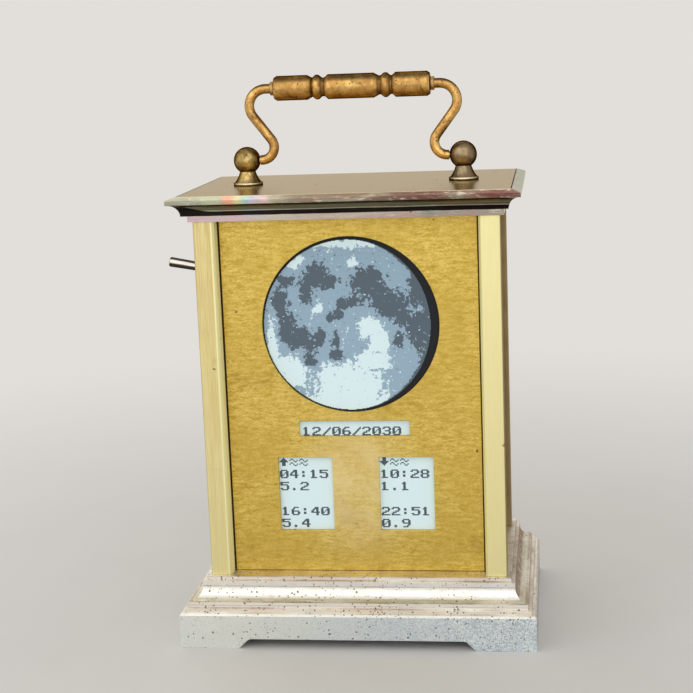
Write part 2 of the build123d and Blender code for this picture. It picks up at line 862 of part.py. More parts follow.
with BuildPart() as button_housing:
    with BuildSketch(Plane.XZ.offset(-controller_back)):
        with Locations((button_place, button_z)):
            Rectangle(button_housing_size, button_housing_size)
    extrude(amount=-button_housing_height)
    with BuildSketch(Plane.XZ.offset(-(controller_back + button_housing_height))):
        with Locations((button_place, button_z)):
            Circle(button_radius + shaft_clearance)
    extrude(amount=button_bore_depth, mode=Mode.SUBTRACT)
hand_over(button_housing.part, "boot_button_housing")

with BuildPart() as boot_button:
    with BuildSketch(Plane.XZ.offset(-(controller_back + button_housing_height - button_stem))):
        with Locations((button_place, button_z)):
            Circle(button_radius)
    extrude(amount=-(button_stem + button_proud))
hand_over(boot_button.part, "boot_button")

# Battery holder on its pad, open to the door, with its cells side by side
cell_total = cell_length + cell_nub_height
pocket_length = cell_total + 2 * contact_room
holder_length = pocket_length + 2 * holder_wall
holder_width = cell_count * cell_pitch + pocket_margin + 2 * holder_wall
holder_back = door_front - holder_back_gap
holder_front = holder_back - holder_depth
holder_bottom = deck_top + pad_thickness
holder_top = holder_bottom + holder_length
holder_z = span(holder_bottom, holder_top)
cell_y = holder_front + holder_wall + cell_radius + cell_clearance

with BuildPart() as holder_pad:
    with BuildSketch(Plane.XY.offset(deck_top)):
        with Locations((0, span(holder_front, holder_back))):
            Rectangle(holder_width, holder_depth)
    extrude(amount=pad_thickness)
hand_over(holder_pad.part, "holder_pad")

with BuildPart() as battery_holder:
    with BuildSketch(Plane.XZ.offset(-holder_front)):
        with Locations((0, holder_z)):
            Rectangle(holder_width, holder_length)
    extrude(amount=-holder_depth)
    with BuildSketch(Plane.XZ.offset(-holder_back)):
        with Locations((0, holder_z)):
            Rectangle(holder_width - 2 * holder_wall, pocket_length)
    extrude(amount=holder_depth - holder_wall, mode=Mode.SUBTRACT)
hand_over(battery_holder.part, "battery_holder")

cell_places = [(i - (cell_count - 1) / 2) * cell_pitch for i in range(cell_count)]
for i, cell_x in enumerate(cell_places):
    up = 1 if i % 2 == 0 else -1
    cell_start = holder_z - up * cell_total / 2
    with BuildPart() as cell:
        with BuildSketch(Plane.XY.offset(cell_start)):
            with Locations((cell_x, cell_y)):
                Circle(cell_radius)
        extrude(amount=up * cell_length)
        fillet(cell.edges().filter_by(GeomType.CIRCLE), cell_edge)
        with BuildSketch(Plane.XY.offset(cell_start + up * cell_length)):
            with Locations((cell_x, cell_y)):
                Circle(cell_nub_radius)
        extrude(amount=up * cell_nub_height)
    hand_over(cell.part, "cell_" + str(i + 1))

# Sprung leaf contacts at both ends of the pocket, each with a bump towards its cell
with BuildPart() as cell_contacts:
    bump_reach = contact_room - contact_thickness - contact_end_gap
    for end in (-1, 1):
        wall_z = holder_z + end * pocket_length / 2
        with BuildSketch(Plane.XY.offset(wall_z)):
            with Locations(*[(x, cell_y) for x in cell_places]):
                Rectangle(contact_width, contact_width)
        extrude(amount=-end * contact_thickness)
        with BuildSketch(Plane.XY.offset(wall_z - end * contact_thickness)):
            with Locations(*[(x, cell_y) for x in cell_places]):
                Circle(contact_bump_radius)
        extrude(amount=-end * bump_reach, taper=15)
hand_over(cell_contacts.part, "cell_contacts")

# Toggle switch: body inside the panel, threaded bush through it, washer and nut outside
body_outer = -panel_inner + bush_flange
body_back = body_outer + switch_body_length
bush_end = -panel_inner - bush_length
pivot_x = bush_end + lever_pivot_inset

with BuildPart() as switch_body:
    with BuildSketch(Plane.YZ.offset(body_outer)):
        with Locations((0, switch_z)):
            RectangleRounded(switch_body_width, switch_body_height, switch_body_edge)
    extrude(amount=switch_body_length)
hand_over(switch_body.part, "switch_body")

with BuildPart() as switch_bush:
    with BuildSketch(Plane.YZ.offset(-panel_inner)):
        with Locations((0, switch_z)):
            Rectangle(
                switch_body_width - bush_flange_margin,
                switch_body_height - bush_flange_margin,
            )
    extrude(amount=bush_flange)
    with BuildSketch(Plane.YZ.offset(-panel_inner)):
        with Locations((0, switch_z)):
            Circle(bush_radius)
    extrude(amount=-bush_length)
    with BuildSketch(Plane.YZ.offset(bush_end)):
        with Locations((0, switch_z)):
            Circle(bush_bore)
    extrude(amount=bush_length, mode=Mode.SUBTRACT)
hand_over(switch_bush.part, "switch_bush")

with BuildPart() as switch_washer:
    with BuildSketch(Plane.YZ.offset(-panel_outer)):
        with Locations((0, switch_z)):
            Circle(washer_radius)
            Circle(bush_radius + shaft_clearance, mode=Mode.SUBTRACT)
    extrude(amount=-washer_thickness)
hand_over(switch_washer.part, "switch_washer")

with BuildPart() as switch_nut:
    with BuildSketch(Plane.YZ.offset(-panel_outer - washer_thickness)):
        with Locations((0, switch_z)):
            RegularPolygon(nut_width / 2, 6, major_radius=False)
            Circle(bush_radius + shaft_clearance, mode=Mode.SUBTRACT)
    extrude(amount=-nut_height)
hand_over(switch_nut.part, "switch_nut")

# Terminals, one above the other behind the switch body
terminal_end = body_back + terminal_length
with BuildPart() as switch_terminals:
    with BuildSketch(Plane.YZ.offset(body_back)):
        with Locations((0, switch_z)):
            with GridLocations(0, terminal_spacing, 1, 3):
                Rectangle(terminal_width, terminal_thickness)
    extrude(amount=terminal_length)
hand_over(switch_terminals.part, "switch_terminals")

# Lever, turned about its own axis, which points out of the case and up by the tilt
lever_axis = (-cos(radians(lever_tilt)), 0, sin(radians(lever_tilt)))
lever_plane = Plane(origin=(pivot_x, 0, switch_z), x_dir=(0, 1, 0), z_dir=lever_axis)
lever_start = lever_ball_radius / 2

with BuildPart() as switch_lever:
    with BuildSketch(lever_plane):
        Circle(lever_root_radius)
    with BuildSketch(lever_plane.offset(lever_length)):
        Circle(lever_tip_radius)
    loft()
    chamfer(
        switch_lever.edges().filter_by(GeomType.CIRCLE).sort_by(Axis.X)[0],
        lever_tip_edge,
    )
    with BuildSketch(lever_plane):
        Circle(lever_tail_radius)
    extrude(amount=-lever_tail_length)
    with Locations((pivot_x, 0, switch_z)):
        Sphere(lever_ball_radius)
hand_over(switch_lever.part, "switch_lever")


# Wires: straight runs joined by arcs as large as the runs allow
def bend_radii(points):
    radii = []
    for before, corner, after in zip(points, points[1:], points[2:]):
        run_in = Vector(*corner) - Vector(*before)
        run_out = Vector(*after) - Vector(*corner)
        turn = radians(run_in.get_angle(run_out))
        shorter = min(run_in.length, run_out.length)
        radii.append(wire_bend_share * shorter / tan(turn / 2))
    return radii


def wire(points):
    radii = bend_radii(points)
    print("wire bend radii", [round(r, 1) for r in radii])
    with BuildPart() as piece:
        with BuildLine() as route:
            FilletPolyline(*points, radius=radii)
        with BuildSketch(Plane(origin=route.line @ 0, z_dir=route.line % 0)):
            Circle(wire_radius)
        sweep(path=route.line)
    return piece.part


wire_x = holder_wire_spread / 2
wire_y = holder_front + holder_wire_inset
lug_low = switch_z - terminal_spacing
pad_x = header_spacing / 2
pad_z = controller_bottom + controller_length - pad_wire_drop
wire_turn_y = controller_back + pad_wire_run

plus_route = [
    (-wire_x, wire_y, holder_top),
    (-wire_x, wire_y, holder_top + plus_rise_share * (lug_low - holder_top)),
    (-wire_x, wire_y / 4, lug_low - plus_reach / 2),
    (terminal_end + plus_reach, 0, lug_low),
    (terminal_end, 0, lug_low),
]
out_route = [
    (terminal_end, 0, switch_z),
    (terminal_end + plus_reach, 0, switch_z),
    (-pad_x, wire_turn_y, pad_z),
    (-pad_x, controller_back, pad_z),
]
minus_route = [
    (wire_x, wire_y, holder_top),
    (wire_x, wire_y, holder_top + minus_rise_share * (pad_z - holder_top)),
    (pad_x, wire_turn_y, pad_z),
    (pad_x, controller_back, pad_z),
]
hand_over(wire(plus_route), "wire_battery_plus")
hand_over(wire(out_route), "wire_switch_out")
hand_over(wire(minus_route), "wire_battery_minus")

print("case height", round(cap_top, 2), "handle top", round(grip_height + grip_radius, 2))
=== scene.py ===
import json
from math import cos, pi, radians, sin

import bmesh
import bpy
from mathutils import Matrix, Vector

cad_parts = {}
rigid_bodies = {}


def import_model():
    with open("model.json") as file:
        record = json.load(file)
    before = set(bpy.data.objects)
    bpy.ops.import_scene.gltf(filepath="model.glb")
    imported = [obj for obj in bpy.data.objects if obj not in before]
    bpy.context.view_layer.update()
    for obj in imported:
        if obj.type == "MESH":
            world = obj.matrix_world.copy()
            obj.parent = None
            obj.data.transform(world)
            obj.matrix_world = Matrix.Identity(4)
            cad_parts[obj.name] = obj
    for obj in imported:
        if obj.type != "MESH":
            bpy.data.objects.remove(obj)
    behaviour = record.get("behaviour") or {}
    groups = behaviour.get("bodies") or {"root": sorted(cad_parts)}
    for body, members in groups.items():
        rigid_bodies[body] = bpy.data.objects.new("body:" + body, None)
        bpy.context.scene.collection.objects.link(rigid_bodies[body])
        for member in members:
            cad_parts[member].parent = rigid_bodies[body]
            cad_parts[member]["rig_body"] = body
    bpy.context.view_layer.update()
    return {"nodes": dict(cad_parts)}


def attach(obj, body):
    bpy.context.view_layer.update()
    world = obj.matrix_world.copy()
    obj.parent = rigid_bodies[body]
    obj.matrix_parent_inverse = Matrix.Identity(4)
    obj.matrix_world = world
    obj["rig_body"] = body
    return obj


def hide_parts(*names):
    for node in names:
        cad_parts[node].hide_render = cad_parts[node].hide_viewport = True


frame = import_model()
nodes = frame["nodes"]
scene = bpy.context.scene
mm = 0.001
print("frame loaded:", len(nodes), "nodes")


# Node helpers: a number, tuple or socket may feed any input

def node(tree, kind, feeds=None, **settings):
    made = tree.nodes.new(kind)
    for key, value in settings.items():
        setattr(made, key, value)
    for key, value in (feeds or {}).items():
        if isinstance(value, bpy.types.NodeSocket):
            tree.links.new(value, made.inputs[key])
        else:
            made.inputs[key].default_value = value
    return made


def maths(tree, kind, first, second=0.0):
    return node(tree, "ShaderNodeMath", {0: first, 1: second}, operation=kind).outputs[0]


def times(tree, first, second):
    return maths(tree, "MULTIPLY", first, second)


def plus(tree, first, second):
    return maths(tree, "ADD", first, second)


def minus(tree, first, second):
    return maths(tree, "SUBTRACT", first, second)


def larger(tree, first, second):
    return maths(tree, "MAXIMUM", first, second)


def unsigned(tree, value):
    return maths(tree, "ABSOLUTE", value)


def spread(tree, value, low, high, start=0.0, end=1.0, kind="SMOOTHSTEP"):
    feeds = {"Value": value, "From Min": low, "From Max": high, "To Min": start, "To Max": end}
    return node(tree, "ShaderNodeMapRange", feeds, interpolation_type=kind).outputs["Result"]


def blend(tree, share, first, second):
    feeds = {0: share, 6: rgba(first), 7: rgba(second)}
    return node(tree, "ShaderNodeMix", feeds, data_type="RGBA", blend_type="MIX").outputs[2]


def rgba(colour):  # a socket, four plain values, or red, green and blue from 0 to 255
    if isinstance(colour, bpy.types.NodeSocket) or len(colour) == 4:
        return colour
    return (*(((c / 255 + 0.055) / 1.055) ** 2.4 if c > 10 else c / 3295 for c in colour), 1)


def place(tree):
    return tree.nodes.new("ShaderNodeTexCoord").outputs["Object"]


def axes(tree, vector):
    return node(tree, "ShaderNodeSeparateXYZ", {0: vector}).outputs


def spot(tree):  # how far right, back and up a point of the piece is
    return axes(tree, place(tree))


def facing(tree):  # which way the surface looks, in the piece's own axes
    return axes(tree, tree.nodes.new("ShaderNodeTexCoord").outputs["Normal"])


def vector(tree, kind, first, second):
    return node(tree, "ShaderNodeVectorMath", {0: first, 1: second}, operation=kind).outputs[0]


def length(tree, value):
    return node(tree, "ShaderNodeVectorMath", {0: value}, operation="LENGTH").outputs["Value"]


def scaled(tree, value, size):
    return node(tree, "ShaderNodeVectorMath", {0: value, "Scale": size}, operation="SCALE").outputs[0]


def wander(tree, at, scale, detail=2.0, rough=0.5):  # a soft shift that differs in all three ways
    feeds = {"Vector": at, "Scale": scale, "Detail": detail, "Roughness": rough}
    return node(tree, "ShaderNodeTexNoise", feeds).outputs["Color"]


def cells(tree, at, scale, **settings):
    return node(tree, "ShaderNodeTexVoronoi", {"Vector": at, "Scale": scale}, **settings).outputs


def noise(tree, at, scale, detail=3.0, rough=0.55, bend=0.0):
    feeds = {"Vector": at, "Scale": scale, "Detail": detail, "Roughness": rough, "Distortion": bend}
    return node(tree, "ShaderNodeTexNoise", feeds).outputs["Fac"]


# Effects that several finishes share, each a node group

def newGroup(name, inputs, outputs):
    tree = bpy.data.node_groups.new(name, "ShaderNodeTree")
    for label, value in inputs.items():
        kind = "NodeSocketVector" if isinstance(value, tuple) else "NodeSocketFloat"
        tree.interface.new_socket(label, in_out="INPUT", socket_type=kind).default_value = value
    for label in outputs:
        tree.interface.new_socket(label, in_out="OUTPUT", socket_type="NodeSocketFloat")
    return tree, tree.nodes.new("NodeGroupInput").outputs, tree.nodes.new("NodeGroupOutput").inputs


def use(tree, name, **values):
    made = tree.nodes.new("ShaderNodeGroup")
    made.node_tree = bpy.data.node_groups[name]
    for key, value in values.items():
        made.inputs[key].default_value = value
    return made.outputs


def buildGrain():  # brush or turning marks, stretched along one way and a little wavy
    inputs = {"Stretch": (1.0, 1.0, 1.0), "Scale": 1500.0, "Wave": 0.0}
    tree, given, out = newGroup("grain", inputs, ["Lines", "Bands"])
    at = place(tree)
    at = vector(tree, "ADD", at, scaled(tree, wander(tree, at, 260.0), given["Wave"]))
    at = vector(tree, "MULTIPLY", at, given["Stretch"])
    tree.links.new(noise(tree, at, given["Scale"], 4.0, 0.6), out["Lines"])
    broad = times(tree, given["Scale"], 0.22)
    tree.links.new(noise(tree, at, broad, 2.0), out["Bands"])


def buildBlotch():  # cloudy patches of tarnish or handling
    tree, given, out = newGroup("blotch", {"Scale": 120.0, "Low": 0.4, "High": 0.6}, ["Mask"])
    cloud = noise(tree, place(tree), given["Scale"], 5.0, 0.6, 0.6)
    tree.links.new(spread(tree, cloud, given["Low"], given["High"]), out["Mask"])


def buildPits():  # small corroded spots of mixed sizes, thicker in some places than in others
    tree, given, out = newGroup("pits", {"Scale": 900.0, "Share": 0.2, "Size": 0.3}, ["Mask"])
    at = place(tree)
    bent = vector(tree, "ADD", at, scaled(tree, wander(tree, at, 1400.0), 0.0006))
    dots = cells(tree, bent, given["Scale"])
    chance = axes(tree, dots["Color"])
    crowd = spread(tree, noise(tree, at, 90.0), 0.35, 0.65, 0.2, 1.8, "LINEAR")
    present = maths(tree, "LESS_THAN", chance[0], times(tree, given["Share"], crowd))
    size = times(tree, given["Size"], spread(tree, chance[1], 0.0, 1.0, 0.35, 1.0, "LINEAR"))
    inside = spread(tree, dots["Distance"], times(tree, size, 0.6), size, 1.0, 0.0)
    tree.links.new(times(tree, inside, present), out["Mask"])


def buildScratches():  # fine random hairlines, in two directions
    tree, given, out = newGroup("scratches", {"Scale": 700.0, "Share": 0.5}, ["Mask"])
    lines = []
    for turn in ((0.3, 0.9, 0.5), (1.2, 0.2, 2.1)):
        feeds = {"Vector": place(tree), "Rotation": turn, "Scale": (1.0, 0.03, 0.05)}
        turned = node(tree, "ShaderNodeMapping", feeds).outputs[0]
        gap = minus(tree, noise(tree, turned, given["Scale"], 1.0, 0.4), 0.5)
        lines.append(spread(tree, unsigned(tree, gap), 0.0, 0.012, 1.0, 0.0))
    both = larger(tree, lines[0], lines[1])
    some = spread(tree, noise(tree, place(tree), 160.0), 0.5, 0.62)
    tree.links.new(times(tree, times(tree, both, some), given["Share"]), out["Mask"])


def buildDust():  # a thin veil on faces that look up
    tree, given, out = newGroup("dust", {"Amount": 0.3}, ["Mask"])
    cloud = spread(tree, noise(tree, place(tree), 800.0, 6.0, 0.7), 0.4, 0.75)
    veil = times(tree, spread(tree, facing(tree)[2], 0.3, 1.0), cloud)
    tree.links.new(times(tree, veil, given["Amount"]), out["Mask"])


for build in (buildGrain, buildBlotch, buildPits, buildScratches, buildDust):
    build()
print("shared effects ready")


# Metals: all follow one build-up, brushed body, tarnish, pits, scratches and dust

def newMaterial(name):
    made = bpy.data.materials.new(name)
    made.use_nodes = True
    tree = made.node_tree
    return made, tree, tree.nodes["Principled BSDF"]


def finishShader(tree, shader, colour, roughness, height, depth, metallic=None):
    tree.links.new(colour, shader.inputs["Base Color"])
    tree.links.new(roughness, shader.inputs["Roughness"])
    if metallic is not None:
        tree.links.new(metallic, shader.inputs["Metallic"])
    bump = node(tree, "ShaderNodeBump", {"Height": height, "Strength": 1.0, "Distance": depth})
    tree.links.new(bump.outputs[0], shader.inputs["Normal"])


def metal(name, look, tint=None, dull=None):
    made, tree, shader = newMaterial(name)
    grain = use(tree, "grain", Stretch=look["stretch"], Scale=look["grainScale"], Wave=look.get("wave", 0.0))
    patch = use(tree, "blotch", Scale=look["patchScale"], Low=0.38, High=0.66)["Mask"]
    stainFrom = look["stainFrom"]
    stain = use(tree, "blotch", Scale=look["stainScale"], Low=stainFrom, High=stainFrom + 0.14)["Mask"]
    pit = use(tree, "pits", Scale=look["pitScale"], Share=look["pitShare"], Size=0.42)["Mask"]
    scratch = use(tree, "scratches", Share=look.get("scratch", 0.3))["Mask"]
    dust = use(tree, "dust", Amount=look.get("dust", 0.12))["Mask"]
    mixed = plus(tree, times(tree, grain["Lines"], 0.6), times(tree, grain["Bands"], 0.4))
    colour = blend(tree, spread(tree, mixed, 0.32, 0.68), look["dark"], look["light"])
    colour = blend(tree, times(tree, patch, look.get("patchShare", 0.5)), colour, look["patch"])
    colour = blend(tree, times(tree, stain, look["stainShare"]), colour, look["stain"])
    colour = blend(tree, scratch, colour, look["light"])
    if tint:
        colour = tint(tree, colour)
    colour = blend(tree, times(tree, pit, 0.85), colour, look["pit"])
    colour = blend(tree, dust, colour, (190, 184, 172))
    low, high = look["rough"]
    rough = spread(tree, mixed, 0.3, 0.7, high, low, "LINEAR")
    rough = plus(tree, rough, times(tree, stain, 0.12))
    rough = plus(tree, rough, times(tree, larger(tree, pit, dust), 0.3))
    height = minus(tree, times(tree, grain["Lines"], look["grainHeight"]), times(tree, pit, 1.2))
    height = minus(tree, height, times(tree, scratch, 0.3))
    metallic = spread(tree, larger(tree, pit, dust), 0.0, 1.0, 1.0, 0.35, "LINEAR")
    if dull:
        metallic = times(tree, metallic, dull(tree))
        rough = plus(tree, rough, spread(tree, dull(tree), 0.0, 1.0, 0.5, 0.0, "LINEAR"))
    shader.inputs["Specular Tint"].default_value = rgba(look.get("edge", (1, 1, 1, 1)))
    shader.inputs["Specular IOR Level"].default_value = look.get("shine", 0.5)
    finishShader(tree, shader, colour, rough, height, 0.00006, metallic)
    return made


maskLook = {
    "light": (244, 218, 124), "dark": (192, 157, 56), "patch": (206, 174, 78), "patchShare": 0.5,
    "stain": (160, 126, 56), "stainFrom": 0.58, "stainShare": 0.5, "pit": (84, 58, 26),
    "stretch": (0.24, 1.0, 1.0), "grainScale": 5600.0, "wave": 0.0008, "grainHeight": 0.75,
    "patchScale": 70.0, "stainScale": 55.0, "pitScale": 700.0, "pitShare": 0.012,
    "rough": (0.36, 0.54), "scratch": 0.3,
}
pillarLook = {
    "light": (244, 230, 172), "dark": (216, 194, 128), "patch": (222, 200, 136), "patchShare": 0.5,
    "stain": (170, 140, 84), "stainFrom": 0.62, "stainShare": 0.4, "pit": (110, 84, 44),
    "stretch": (1.0, 1.0, 0.03), "grainScale": 4200.0, "grainHeight": 0.5,
    "patchScale": 60.0, "stainScale": 50.0, "pitScale": 500.0, "pitShare": 0.015,
    "rough": (0.34, 0.5), "scratch": 0.3, "edge": (206, 184, 136), "shine": 0.15,
}
plateLook = {
    "light": (186, 164, 122), "dark": (182, 160, 118), "patch": (182, 158, 118), "patchShare": 0.5,
    "stain": (166, 142, 104), "stainFrom": 0.62, "stainShare": 0.4, "pit": (110, 88, 60),
    "stretch": (0.3, 1.0, 1.0), "grainScale": 4200.0, "grainHeight": 0.03,
    "patchScale": 50.0, "stainScale": 45.0, "pitScale": 400.0, "pitShare": 0.02,
    "rough": (0.16, 0.24), "dust": 0.12, "edge": (230, 220, 196),
}
handleLook = {
    "light": (246, 204, 126), "dark": (194, 144, 78), "patch": (154, 114, 64), "patchShare": 0.6,
    "stain": (74, 52, 30), "stainFrom": 0.56, "stainShare": 0.75, "pit": (40, 26, 14),
    "stretch": (1.0, 1.0, 1.0), "grainScale": 900.0, "grainHeight": 0.5,
    "patchScale": 160.0, "stainScale": 240.0, "pitScale": 1500.0, "pitShare": 0.3,
    "rough": (0.22, 0.38), "dust": 0.1, "edge": (132, 100, 56),
}
postLook = dict(handleLook, light=(226, 200, 132), dark=(158, 130, 76), patch=(128, 108, 72),
                rough=(0.2, 0.34), pitShare=0.1)
silverLook = {
    "light": (253, 253, 248), "dark": (236, 234, 226), "patch": (250, 245, 234), "patchShare": 0.6,
    "stain": (206, 184, 164), "stainFrom": 0.62, "stainShare": 0.4, "pit": (58, 42, 30),
    "stretch": (0.25, 0.25, 1.0), "grainScale": 1800.0, "grainHeight": 0.35,
    "patchScale": 90.0, "stainScale": 120.0, "pitScale": 1300.0, "pitShare": 0.4,
    "rough": (0.38, 0.5), "scratch": 0.5, "edge": (240, 236, 226),
}
capLook = dict(silverLook, light=(196, 192, 172), dark=(160, 154, 134), patch=(180, 170, 148),
               pitShare=0.012, stain=(150, 122, 104), rough=(0.14, 0.28))
nickelLook = dict(silverLook, light=(222, 220, 214), dark=(180, 178, 172), pitShare=0.02,
                  patch=(200, 196, 190), stain=(140, 130, 118), rough=(0.12, 0.26))
leverLook = dict(nickelLook, light=(250, 242, 230), dark=(214, 204, 192), rough=(0.16, 0.3),
                 edge=(120, 110, 98))
steelLook = dict(nickelLook, light=(206, 206, 204), dark=(164, 164, 162), rough=(0.22, 0.38))


def band(tree, value, start, end, soft):  # one between two levels, with soft ends
    rise = spread(tree, value, start - soft, start + soft)
    return times(tree, rise, spread(tree, value, end - soft, end + soft, 1.0, 0.0))


# Places on the object are in metres. A line or band has its start, its end, how strong it is, and its colour

capMarks = {
    "friezeTop": (0.1158, 0.1162), "hollowFoot": (0.11604, 0.1161), "innerLine": (0.0297, 0.0302),
    "tarnishFrom": (-0.018, 0.02), "greyFrom": (-0.018, -0.01), "lilacTo": (-0.028, -0.02),
    "silverTo": (-0.035, -0.029), "greenPart": (0.012, 0.03), "greenFrieze": (0.014, 0.024),
    "redEnd": (0.03, 0.04),
    "blackEnd": (-0.044, -0.034), "blackTop": (0.119, 0.1172),  # the painted shade and dark reflection in the hollow is deeper at the left end
    "rainbow": [(-0.0365, -0.0315, 0.5, (186, 196, 164)), (-0.0305, -0.0278, 0.7, (238, 158, 128)),
                (-0.0278, -0.026, 0.6, (230, 220, 150)), (-0.026, -0.0243, 0.6, (142, 212, 210)),
                (-0.0243, -0.0215, 0.6, (196, 190, 220)), (-0.0215, -0.0188, 0.5, (226, 190, 200))],
    # in the hollow: an olive painted dark reflection, a pale line, and a dark painted shadow line under the
    # fascia
    "hollowLines": [(0.1175, 0.1189, 0.9, (104, 100, 76)), (0.11715, 0.1174, 0.8, (196, 196, 184)),
                    (0.1189, 0.1192, 0.9, (52, 44, 36))],
}


def capTint(tree, colour):  # purple and rainbow tarnish on the flats, a painted highlight along the rim's inner edge, painted shade and a painted dark reflection as black and dark lines in the hollow, beside a pale line
    x, y, z = spot(tree)[0:3]
    at = vector(tree, "MULTIPLY", place(tree), (0.2, 0.2, 1.0))
    cloud = noise(tree, at, 340.0, 4.0, 0.6, 0.4)
    fine = noise(tree, at, 1100.0, 4.0, 0.7)
    high = spread(tree, z, *capMarks["friezeTop"])
    colour = blend(tree, spread(tree, high, 0.0, 1.0, 0.5, 0.0), colour, (232, 222, 212))
    share = times(tree, spread(tree, x, *capMarks["greyFrom"]), spread(tree, high, 0.0, 1.0, 0.1, 0.6))
    colour = blend(tree, share, colour, (136, 126, 106))
    right = spread(tree, x, *capMarks["tarnishFrom"], 0.1, 0.95, "LINEAR")
    purple = times(tree, spread(tree, cloud, 0.36, 0.56), right)
    colour = blend(tree, purple, colour, blend(tree, high, (190, 160, 156), (116, 78, 70)))
    green = band(tree, x, *capMarks["greenPart"], 0.006)
    green = times(tree, green, spread(tree, cloud, 0.5, 0.42, 0.0, 0.6))
    colour = blend(tree, green, colour, (124, 138, 124))
    low = times(tree, spread(tree, x, *capMarks["greenFrieze"]), spread(tree, high, 0.0, 1.0, 0.75, 0.0))
    low = times(tree, low, spread(tree, cloud, 0.3, 0.6, 1.0, 0.5))
    colour = blend(tree, low, colour, (140, 144, 134))
    end = times(tree, spread(tree, x, *capMarks["redEnd"]), spread(tree, cloud, 0.3, 0.6, 0.5, 0.9))
    colour = blend(tree, times(tree, end, high), colour, (112, 62, 62))
    colour = blend(tree, spread(tree, facing(tree)[0], 0.15, 0.3, 0.0, 0.9), colour, (176, 190, 162))
    left = times(tree, spread(tree, x, *capMarks["silverTo"], 0.45, 0.0), high)
    colour = blend(tree, left, colour, (150, 160, 142))
    streak = times(tree, spread(tree, fine, 0.54, 0.66), 0.7)
    colour = blend(tree, streak, colour, (216, 200, 184))
    # a painted highlight along the rim's inner edge, where the plate starts
    inner = band(tree, unsigned(tree, y), *capMarks["innerLine"], 0.00006)
    inner = times(tree, inner, spread(tree, cloud, 0.3, 0.5, 0.4, 0.85))
    colour = blend(tree, inner, colour, (226, 216, 192))
    lilac = times(tree, spread(tree, x, *capMarks["lilacTo"], 0.7, 0.0), minus(tree, 1.0, high))
    colour = blend(tree, lilac, colour, (220, 190, 206))
    along = plus(tree, x, spread(tree, cloud, 0.2, 0.8, -0.0025, 0.0025, "LINEAR"))
    for start, end, amount, tone in capMarks["rainbow"]:
        share = times(tree, band(tree, along, start, end, 0.001), spread(tree, high, 0.0, 1.0, 0.05, amount))
        colour = blend(tree, share, colour, tone)
    # In the hollow, the black and the olive band are painted shade and a painted dark reflection, and the dark
    # line under the fascia is painted shade
    wobble = spread(tree, noise(tree, at, 500.0, 3.0), 0.3, 0.7, -0.00008, 0.00008, "LINEAR")
    level = plus(tree, z, wobble)
    for start, end, amount, tone in capMarks["hollowLines"]:
        colour = blend(tree, times(tree, band(tree, level, start, end, 0.00008), amount), colour, tone)
    top = spread(tree, x, *capMarks["blackEnd"], *capMarks["blackTop"])
    black = spread(tree, minus(tree, level, top), 0.0, 0.0001, 0.97, 0.0)
    return blend(tree, times(tree, black, spread(tree, level, *capMarks["hollowFoot"])), colour, (22, 18, 15))


plinthMarks = {
    "skirtTop": (0.0088, 0.0096), "rightShadeFrom": (0.0092, 0.01), "coolFrom": (-0.01, 0.03),
    "evenFrom": (-0.015, 0.035), "specksFrom": (0.0, 0.05),
    # along the steps, the dark lines at the corners between steps and under the case are painted shade, and
    # the tan band at the foot of the hollow is a painted reflection
    "steps": [(0.0096, 0.0098, 0.6, (186, 164, 134)), (0.0098, 0.0105, 0.35, (234, 214, 190)),
              (0.01058, 0.01078, 0.7, (166, 130, 108)), (0.0112, 0.01135, 0.7, (186, 148, 124)),
              (0.01208, 0.01222, 0.85, (150, 124, 92)), (0.0122, 0.0127, 0.8, (198, 190, 158)),
              (0.01545, 0.01565, 0.75, (134, 132, 150)), (0.0157, 0.0168, 0.3, (226, 220, 230)),
              (0.01693, 0.01712, 0.8, (158, 128, 102)), (0.0172, 0.0178, 0.35, (232, 206, 182)),
              (0.01785, 0.018, 0.8, (150, 118, 84))],
}


def plinthTint(tree, colour):  # grey skirt, tan and pink lines along the steps with painted shade and a painted reflection among them, painted shade on the sides that look right, fine dark specks
    at = place(tree)
    x, y, z = axes(tree, at)[0:3]
    fine = noise(tree, at, 2200.0, 2.0, 0.8)
    broad = noise(tree, at, 240.0, 3.0)
    grain = plus(tree, times(tree, fine, 0.85), times(tree, broad, 0.15))
    width = spread(tree, x, *plinthMarks["evenFrom"], 0.4, 0.08, "LINEAR")
    shade = spread(tree, grain, minus(tree, 0.5, width), plus(tree, 0.5, width), 0.0, 1.0, "LINEAR")
    cool = spread(tree, plus(tree, x, times(tree, broad, 0.04)), *plinthMarks["coolFrom"])
    low = blend(tree, cool, (216, 221, 216), (186, 202, 216))
    high = blend(tree, cool, (252, 255, 252), (248, 254, 255))
    skirt = spread(tree, z, *plinthMarks["skirtTop"], 0.95, 0.0)
    colour = blend(tree, skirt, colour, blend(tree, shade, low, high))
    streak = noise(tree, vector(tree, "MULTIPLY", at, (0.08, 0.08, 1.0)), 900.0, 4.0, 0.65)
    # painted shade and a painted reflection among these lines, as marked above
    for start, end, amount, tone in plinthMarks["steps"]:
        share = spread(tree, streak, 0.36, 0.6, 0.3 * amount, amount)
        colour = blend(tree, times(tree, band(tree, z, start, end, 0.00008), share), colour, tone)
    cloud = noise(tree, at, 300.0, 5.0, 0.7)
    # painted shade on the sides that look right, brownish and cloudy, half on the skirt and full above it
    paintedRightShade = times(tree, spread(tree, facing(tree)[0], 0.4, 0.8), spread(tree, cloud, 0.3, 0.62, 0.5, 0.95))
    paintedRightShade = times(tree, paintedRightShade, spread(tree, z, *plinthMarks["rightShadeFrom"], 0.5, 1.0))
    colour = blend(tree, paintedRightShade, colour, (142, 112, 84))
    specks = use(tree, "pits", Scale=2100.0, Share=0.25, Size=0.4)["Mask"]
    more = spread(tree, plus(tree, x, times(tree, broad, 0.03)), *plinthMarks["specksFrom"], 0.2, 0.8)
    return blend(tree, times(tree, specks, more), colour, (110, 96, 84))


